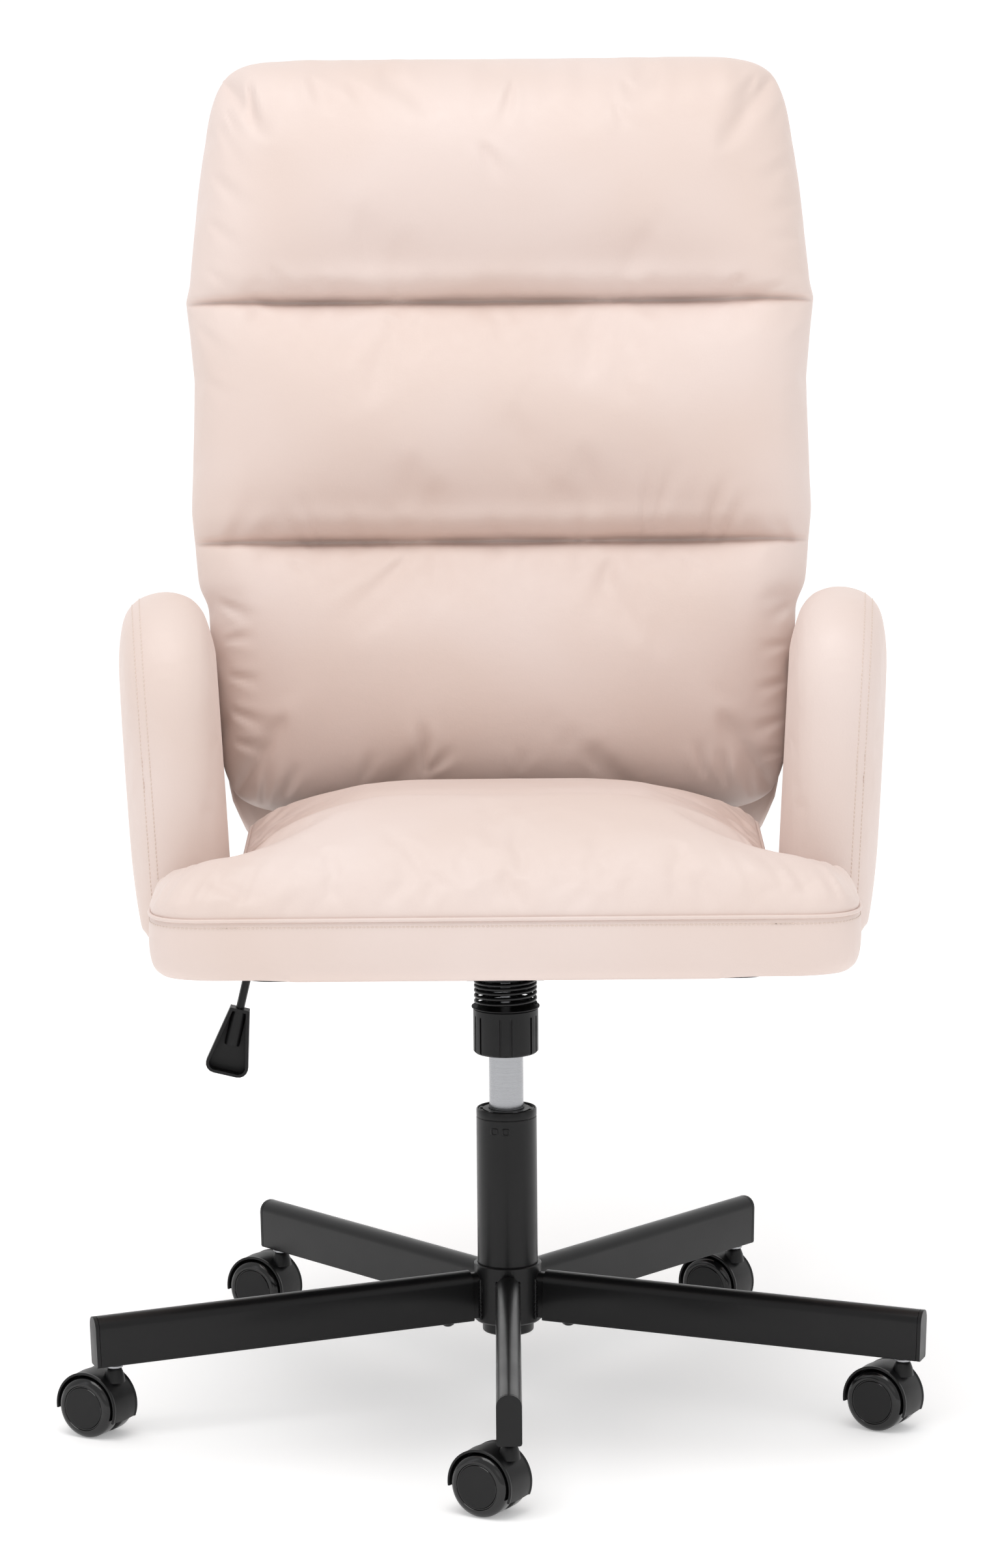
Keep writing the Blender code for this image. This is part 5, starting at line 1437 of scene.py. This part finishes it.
@dataclass
class Casters:
    """Twin-wheel casters: hooded barrels on stems, with turned wheels."""

    palette: Palette
    wheel_radius: float = 0.0250
    wheel_width: float = 0.0165
    web: float = 0.0050
    side_play: float = 0.0008
    hood_inner: float = 0.0265
    hood_wall: float = 0.0020
    hood_half: float = 0.0165
    lip: float = 0.0022
    trail: float = 0.0177
    first_angle: float = -7.0
    last_angle: float = 202.0
    joints: tuple[str, ...] = ("caster_1_swivel", "caster_2_swivel", "caster_3_swivel",
                               "caster_4_swivel", "caster_5_swivel")

    def frame_of(self, number: int) -> Matrix:
        """A caster's own frame: stem on Z, wheels trailing along +X, axle along Y."""
        stem = self.joint(f"caster_{number}_swivel")["pos_m"]
        axle = Vector(self.joint(f"wheel_left_{number}_roll")["axis"])
        ahead = axle.cross(Vector((0, 0, 1))).normalized()
        turn = Matrix((ahead, axle, (0, 0, 1))).transposed().to_4x4()
        return Matrix.Translation((stem[0], stem[1], 0)) @ turn

    @staticmethod
    def joint(name: str) -> dict[str, Any]:
        """A joint of the record."""
        return next(j for j in frame["joints"] if j["name"] == name)

    def wheel_profile(self) -> Profile:
        """Section of a wheel: hub boss, dished disc, fine ring groove and rounded tread."""
        r, w = self.wheel_radius, self.wheel_width
        tread = [(r - 0.0062 + 0.0062 * math.sin(a), w - 0.0062 + 0.0062 * math.cos(a))
                 for a in np.linspace(0.15, math.pi / 2, 8)]
        inner = [(r - 0.0022 + 0.0022 * math.cos(a), 0.0022 - 0.0022 * math.sin(a))
                 for a in np.linspace(0, math.pi / 2, 4)]
        return [(0, w - 0.0002), (0.0120, w), (0.0168, w - 0.0001), (0.0174, w - 0.0009),
                (0.0180, w - 0.0009), (0.0186, w - 0.0001), *tread, *inner,
                (0.0190, 0.0), (0.0182, 0.0030), (0.0075, 0.0034), (0.0068, 0.0), (0.0028, 0.0),
                (0.0028, w - 0.0030), (0, w - 0.0030)]

    def build(self) -> list[bpy.types.Object]:
        """Make five casters.

        Returns:
            Their hoods and wheels.
        """
        hood = self.hood()
        wheel = turned("wheel", self.wheel_profile(), self.palette.tread, 64, sharp=50.0)
        wheel.data.materials.append(self.palette.nylon)
        for face in wheel.data.polygons:
            centre = face.center
            if math.hypot(centre.x, centre.y) < 0.0170 and centre.z > self.wheel_width / 2:
                face.material_index = 1
        made = []
        for number in range(1, len(self.joints) + 1):
            place = self.frame_of(number)
            shell = hood.copy()
            shell.name = f"hood_{number}"
            shell.matrix_world = place
            bpy.context.scene.collection.objects.link(shell)
            made.append(mount(shell, f"caster_{number}", Slot.NYLON, f"caster_hood_{number}"))
            for side, sign in ((Side.LEFT, 1), (Side.RIGHT, -1)):
                name = side.name.lower()
                piece = wheel.copy()
                piece.name = f"wheel_{name}_{number}"
                inner = self.web / 2 + self.side_play
                turn = Matrix.Rotation(-sign * math.pi / 2, 4, "X")
                piece.matrix_world = (place @ Matrix.Translation((self.trail, sign * inner,
                                                                  self.wheel_radius)) @ turn)
                bpy.context.scene.collection.objects.link(piece)
                made.append(mount(piece, f"wheel_{name}_{number}", Slot.TYRE,
                                  f"caster_wheel_{name}_{number}"))
        bpy.data.objects.remove(hood, do_unlink=True)
        bpy.data.objects.remove(wheel, do_unlink=True)
        return made

    def hood(self) -> bpy.types.Object:
        """Barrel shell with rolled lips, a web for the axle and a fairing to the stem."""
        centre_x, centre_z = self.trail, self.wheel_radius
        half, inner, outer = self.hood_half, self.hood_inner, self.hood_inner + self.hood_wall
        section = [(outer - 0.0004, -half), (outer + 0.0001, -half + 0.0006),
                   (outer, -half + self.lip), (outer - 0.0004, -half + self.lip + 0.0006),
                   (outer + 0.0004, 0.0), (outer - 0.0004, half - self.lip - 0.0006),
                   (outer, half - self.lip), (outer + 0.0001, half - 0.0006), (outer - 0.0004, half),
                   (inner + 0.0003, half), (inner, half - 0.0004), (inner, -half + 0.0004),
                   (inner + 0.0003, -half)]
        angles = np.radians(np.linspace(self.first_angle, self.last_angle, 57))
        points = np.array([(centre_x + r * math.cos(a), y, centre_z + r * math.sin(a))
                           for a in angles for r, y in section])
        around = len(section)
        faces: list[tuple[int, ...]] = list(ring_faces(len(angles), around))
        faces += [tuple(range(around)), tuple(range((len(angles) - 1) * around,
                                                    len(angles) * around))]
        shell = mesh_object("hood", points, faces, self.palette.nylon, 35.0)
        web = self.web_plate()
        neck = self.neck()
        for other in (web, neck):
            joined = shell.modifiers.new("join", "BOOLEAN")
            joined.operation, joined.solver, joined.object = "UNION", "EXACT", other
        settle_modifiers(shell)
        shell.data.set_sharp_from_angle(angle=math.radians(35))
        for other in (web, neck):
            bpy.data.objects.remove(other, do_unlink=True)
        return shell

    def web_plate(self) -> bpy.types.Object:
        """The plate between the wheels that carries the axle, with its boss."""
        middle = self.hood_inner + self.hood_wall / 2
        angles = np.radians(np.linspace(self.first_angle + 1, self.last_angle - 1, 41))
        rim = [(self.trail + middle * math.cos(a), self.wheel_radius + middle * math.sin(a))
               for a in angles]
        half = self.web / 2
        points = np.array([(x, y, z) for y in (-half, half) for x, z in rim])
        count = len(rim)
        faces: list[tuple[int, ...]] = list(ring_faces(2, count))
        faces += [tuple(range(count)), tuple(range(count, 2 * count))]
        return mesh_object("web", points, faces, self.palette.nylon)

    def neck(self) -> bpy.types.Object:
        """Conical fairing from the barrel up to the stem's ring."""
        low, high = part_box("caster_hood_1")
        top = high.z
        foot = self.wheel_radius + self.hood_inner + self.hood_wall / 2 \
            - (self.trail - 0.004) * 0.52
        profile = [(0, top), (0.0050, top), (0.0058, top - 0.0006), (0.0066, top - 0.0022),
                   (0.0078, top - 0.0055), (0.0086, foot), (0, foot)]
        return turned("neck", profile, self.palette.nylon, 40)


@dataclass
class GasColumn:
    """Details of the column: its two crimps, the slotted mouth ring and the hub's welds."""

    palette: Palette

    def build(self) -> list[bpy.types.Object]:
        """Make the details.

        Returns:
            The crimps, mouth ring and weld beads.
        """
        return [*self.crimps(), self.mouth(), *self.welds()]

    def crimps(self) -> list[bpy.types.Object]:
        """Two square punch marks that lock the bush, high on the front."""
        low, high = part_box("column_tube")
        radius, made = high.x, []
        for number, x in enumerate((-0.0100, -0.0008)):
            size, z = 0.0023, high.z - 0.0160
            rings = []
            for reach, out in ((1.35, -0.0001), (1.15, 0.00045), (0.92, 0.00045), (0.78, -0.0002)):
                ring = []
                for k in range(24):
                    a = 2 * math.pi * (k + 0.5) / 24
                    c, s = math.cos(a), math.sin(a)
                    square = (abs(c) ** 5 + abs(s) ** 5) ** -0.2
                    u, v = x + size * reach * square * c, z + size * reach * square * s
                    depth = math.sqrt(radius ** 2 - u ** 2) + out
                    ring.append((u, -depth, v))
                rings += ring
            faces: list[tuple[int, ...]] = list(ring_faces(4, 24))
            faces += [tuple(range(24)), tuple(range(72, 96))]
            piece = mesh_object(f"column_crimp_{number + 1}", np.array(rings), faces,
                                self.palette.powder, 50.0)
            made.append(mount(piece, "base", Slot.STEEL))
        return made

    def mouth(self) -> bpy.types.Object:
        """The bush's flange in the column's mouth, with arc slots near its edge."""
        low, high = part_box("column_bush")
        outer, inner, top = high.x - 0.0002, 0.0146, high.z
        steps, count = 120, 6
        rings: list[tuple[float, float, float]] = []
        section = ((inner, top - 0.004), (inner, top + 0.0002), (inner + 0.0006, top + 0.0008),
                   (outer - 0.0042, top + 0.0008), (outer - 0.0034, top + 0.0008),
                   (outer - 0.0030, top + 0.0008), (outer - 0.0014, top + 0.0008),
                   (outer - 0.0010, top + 0.0008), (outer, top + 0.0004), (outer, top - 0.004))
        for i in range(steps):
            turn = 2 * math.pi * i / steps
            in_slot = (i * count / steps) % 1.0 < 0.72
            for k, (r, z) in enumerate(section):
                drop = 0.0022 if in_slot and k in (5, 6) else 0.0
                rings.append((r * math.cos(turn), r * math.sin(turn), z - drop))
        around = len(section)
        faces = ring_faces(steps, around)
        faces += [((steps - 1) * around + k, (steps - 1) * around + (k + 1) % around,
                   (k + 1) % around, k) for k in range(around)]
        piece = mesh_object("column_mouth_ring", np.array(rings), faces, self.palette.nylon)
        return mount(piece, "base", Slot.NYLON)

    def welds(self) -> list[bpy.types.Object]:
        """A rippled bead up each side of every stub at the hub."""
        made = []
        low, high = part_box("base_hub")
        radius = 0.0277
        for leg in range(5):
            angle = math.radians(-90 + 72 * leg)
            for number, sign in enumerate((-1, 1)):
                path = []
                for t in np.linspace(0, 1, 40):
                    z = 0.0715 + t * 0.0330
                    y = sign * (0.0088 + 0.0004 * math.sin(t * 60))
                    x = math.sqrt(radius ** 2 - y ** 2) + 0.0003 * math.sin(t * 95)
                    path.append((x * math.cos(angle) - y * math.sin(angle),
                                 x * math.sin(angle) + y * math.cos(angle), z))
                piece = swept(f"hub_weld_{leg + 1}_{number + 1}", np.array(path), 0.0013,
                              self.palette.powder, 8)
                made.append(mount(piece, "base", Slot.STEEL))
        return made


@dataclass
class TiltGear:
    """The tilt mechanism's spring, wound smooth."""

    palette: Palette
    wire: float = 0.0031
    coils: float = 8.0
    keep: float = 0.735

    def build(self) -> bpy.types.Object:
        """Wind the spring between its washer and the cup.

        Returns:
            The spring, riding on the washer.
        """
        low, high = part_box("tension_spring")
        centre = (low + high) / 2
        radius = (high.x - low.x) / 2 - self.wire / 2
        count = 300
        path = []
        for i in range(count + 1):
            share = i / count
            ease = share + 0.035 * math.sin(2 * math.pi * share) * (1 - abs(2 * share - 1))
            turn = 2 * math.pi * self.coils * share
            path.append((radius * math.cos(turn), centre.y + radius * math.sin(turn),
                         low.z + self.wire / 2 + (high.z - low.z - self.wire) * ease))
        piece = swept("tilt_spring", np.array(path), self.wire / 2, self.palette.oiled, 14)
        mount(piece, "washer", Slot.SPRING, "tension_spring")
        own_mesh(piece)
        return piece


# ------------------------------------------------------------------ studio
@dataclass(frozen=True)
class SoftBox:
    """A large soft light: where it hangs, what it faces, its size, watts and colour."""

    name: str
    place: tuple[float, float, float]
    goal: tuple[float, float, float]
    width: float
    height: float
    power: float
    colour: str


SOFT_BOXES: tuple[SoftBox, ...] = (
    SoftBox("overhead", (-0.3, -1.0, 3.1), (0.0, 0.0, 0.6), 2.2, 1.6, 34.0, "#FFFEFD"),
    SoftBox("front_fill", (0.4, -4.6, 2.2), (0.0, 0.0, 0.7), 2.6, 1.8, 6.0, "#FFFDFB"),
    SoftBox("left_strip", (-2.6, -1.2, 1.3), (0.0, 0.0, 0.5), 0.6, 2.4, 2.5, "#F8F8FF"),
    SoftBox("right_strip", (2.6, -1.2, 1.3), (0.0, 0.0, 0.5), 0.6, 2.4, 2.5, "#FBF9FF"))


@dataclass
class Studio:
    """A pale sweep, large soft lights and the camera."""

    palette: Palette
    camera_place: tuple[float, float, float] = (0.0, -4.740, 1.327)
    pitch_down: float = 9.74
    turn_left: float = 0.110
    roll: float = -0.50
    lens: float = 136.4              # mm on a 36 mm long side

    def build(self) -> None:
        """Lay the sweep, hang the lights and set the camera up."""
        self.sweep()
        self.lights()
        self.camera()

    def sweep(self) -> None:
        """Floor that curves up to a backdrop far behind."""
        profile = [(-9.0, 0.0), (5.0, 0.0)]
        profile += [(5.0 + 2.5 * math.sin(a), 2.5 - 2.5 * math.cos(a))
                    for a in np.linspace(0.1, math.pi / 2, 14)]
        profile += [(7.5, 9.0)]
        points = np.array([(x, y, z) for x in (-12.0, 12.0) for y, z in profile])
        count = len(profile)
        faces = ring_faces(2, count, closed=False)
        floor = mesh_object("studio_sweep", points, faces, self.palette.paper, 180.0)

    def lights(self) -> None:
        """Soft boxes above, in front and at both sides, and an even sky."""
        for box in SOFT_BOXES:
            light = bpy.data.lights.new(box.name, "AREA")
            light.shape = "RECTANGLE"
            light.size, light.size_y = box.width, box.height
            light.energy = box.power
            light.color = linear_colour(box.colour)[:3]
            lamp = bpy.data.objects.new(box.name, light)
            lamp.location = box.place
            aim = Vector(box.goal) - Vector(box.place)
            lamp.rotation_euler = aim.to_track_quat("-Z", "Y").to_euler()
            bpy.context.scene.collection.objects.link(lamp)
        sky = bpy.data.worlds.new("even_sky")
        sky.use_nodes = True
        sky.node_tree.nodes["Background"].inputs["Color"].default_value = linear_colour("#FFFFFF")
        sky.node_tree.nodes["Background"].inputs["Strength"].default_value = 0.72
        bpy.context.scene.world = sky
        bpy.context.scene.view_settings.view_transform = "Standard"

    def camera(self) -> None:
        """The camera: level with the head rest, looking down a little."""
        lens = bpy.data.cameras.new("studio_camera")
        lens.sensor_fit = "AUTO"
        lens.sensor_width = 36.0
        lens.lens = self.lens
        lens.clip_end = 60.0
        camera = bpy.data.objects.new("studio_camera", lens)
        aim = (Matrix.Rotation(math.radians(self.turn_left), 4, "Z")
               @ Matrix.Rotation(math.radians(90 - self.pitch_down), 4, "X")
               @ Matrix.Rotation(math.radians(self.roll), 4, "Z"))
        camera.matrix_world = Matrix.Translation(self.camera_place) @ aim
        bpy.context.scene.collection.objects.link(camera)
        bpy.context.scene.camera = camera


def main() -> None:
    """Build and dress the chair."""
    logging.basicConfig(level=logging.INFO, format="%(message)s")
    palette = Palette.mixed()
    Studio(palette).build()
    BackCushion(palette).build()
    RearPanel(palette).build()
    SeatCushion(palette).build()
    for side in Side:
        ArmPad(palette, side).build()
    Casters(palette).build()
    GasColumn(palette).build()
    TiltGear(palette).build()
    CadDresser(palette).dress()


if __name__ == "__main__":
    main()
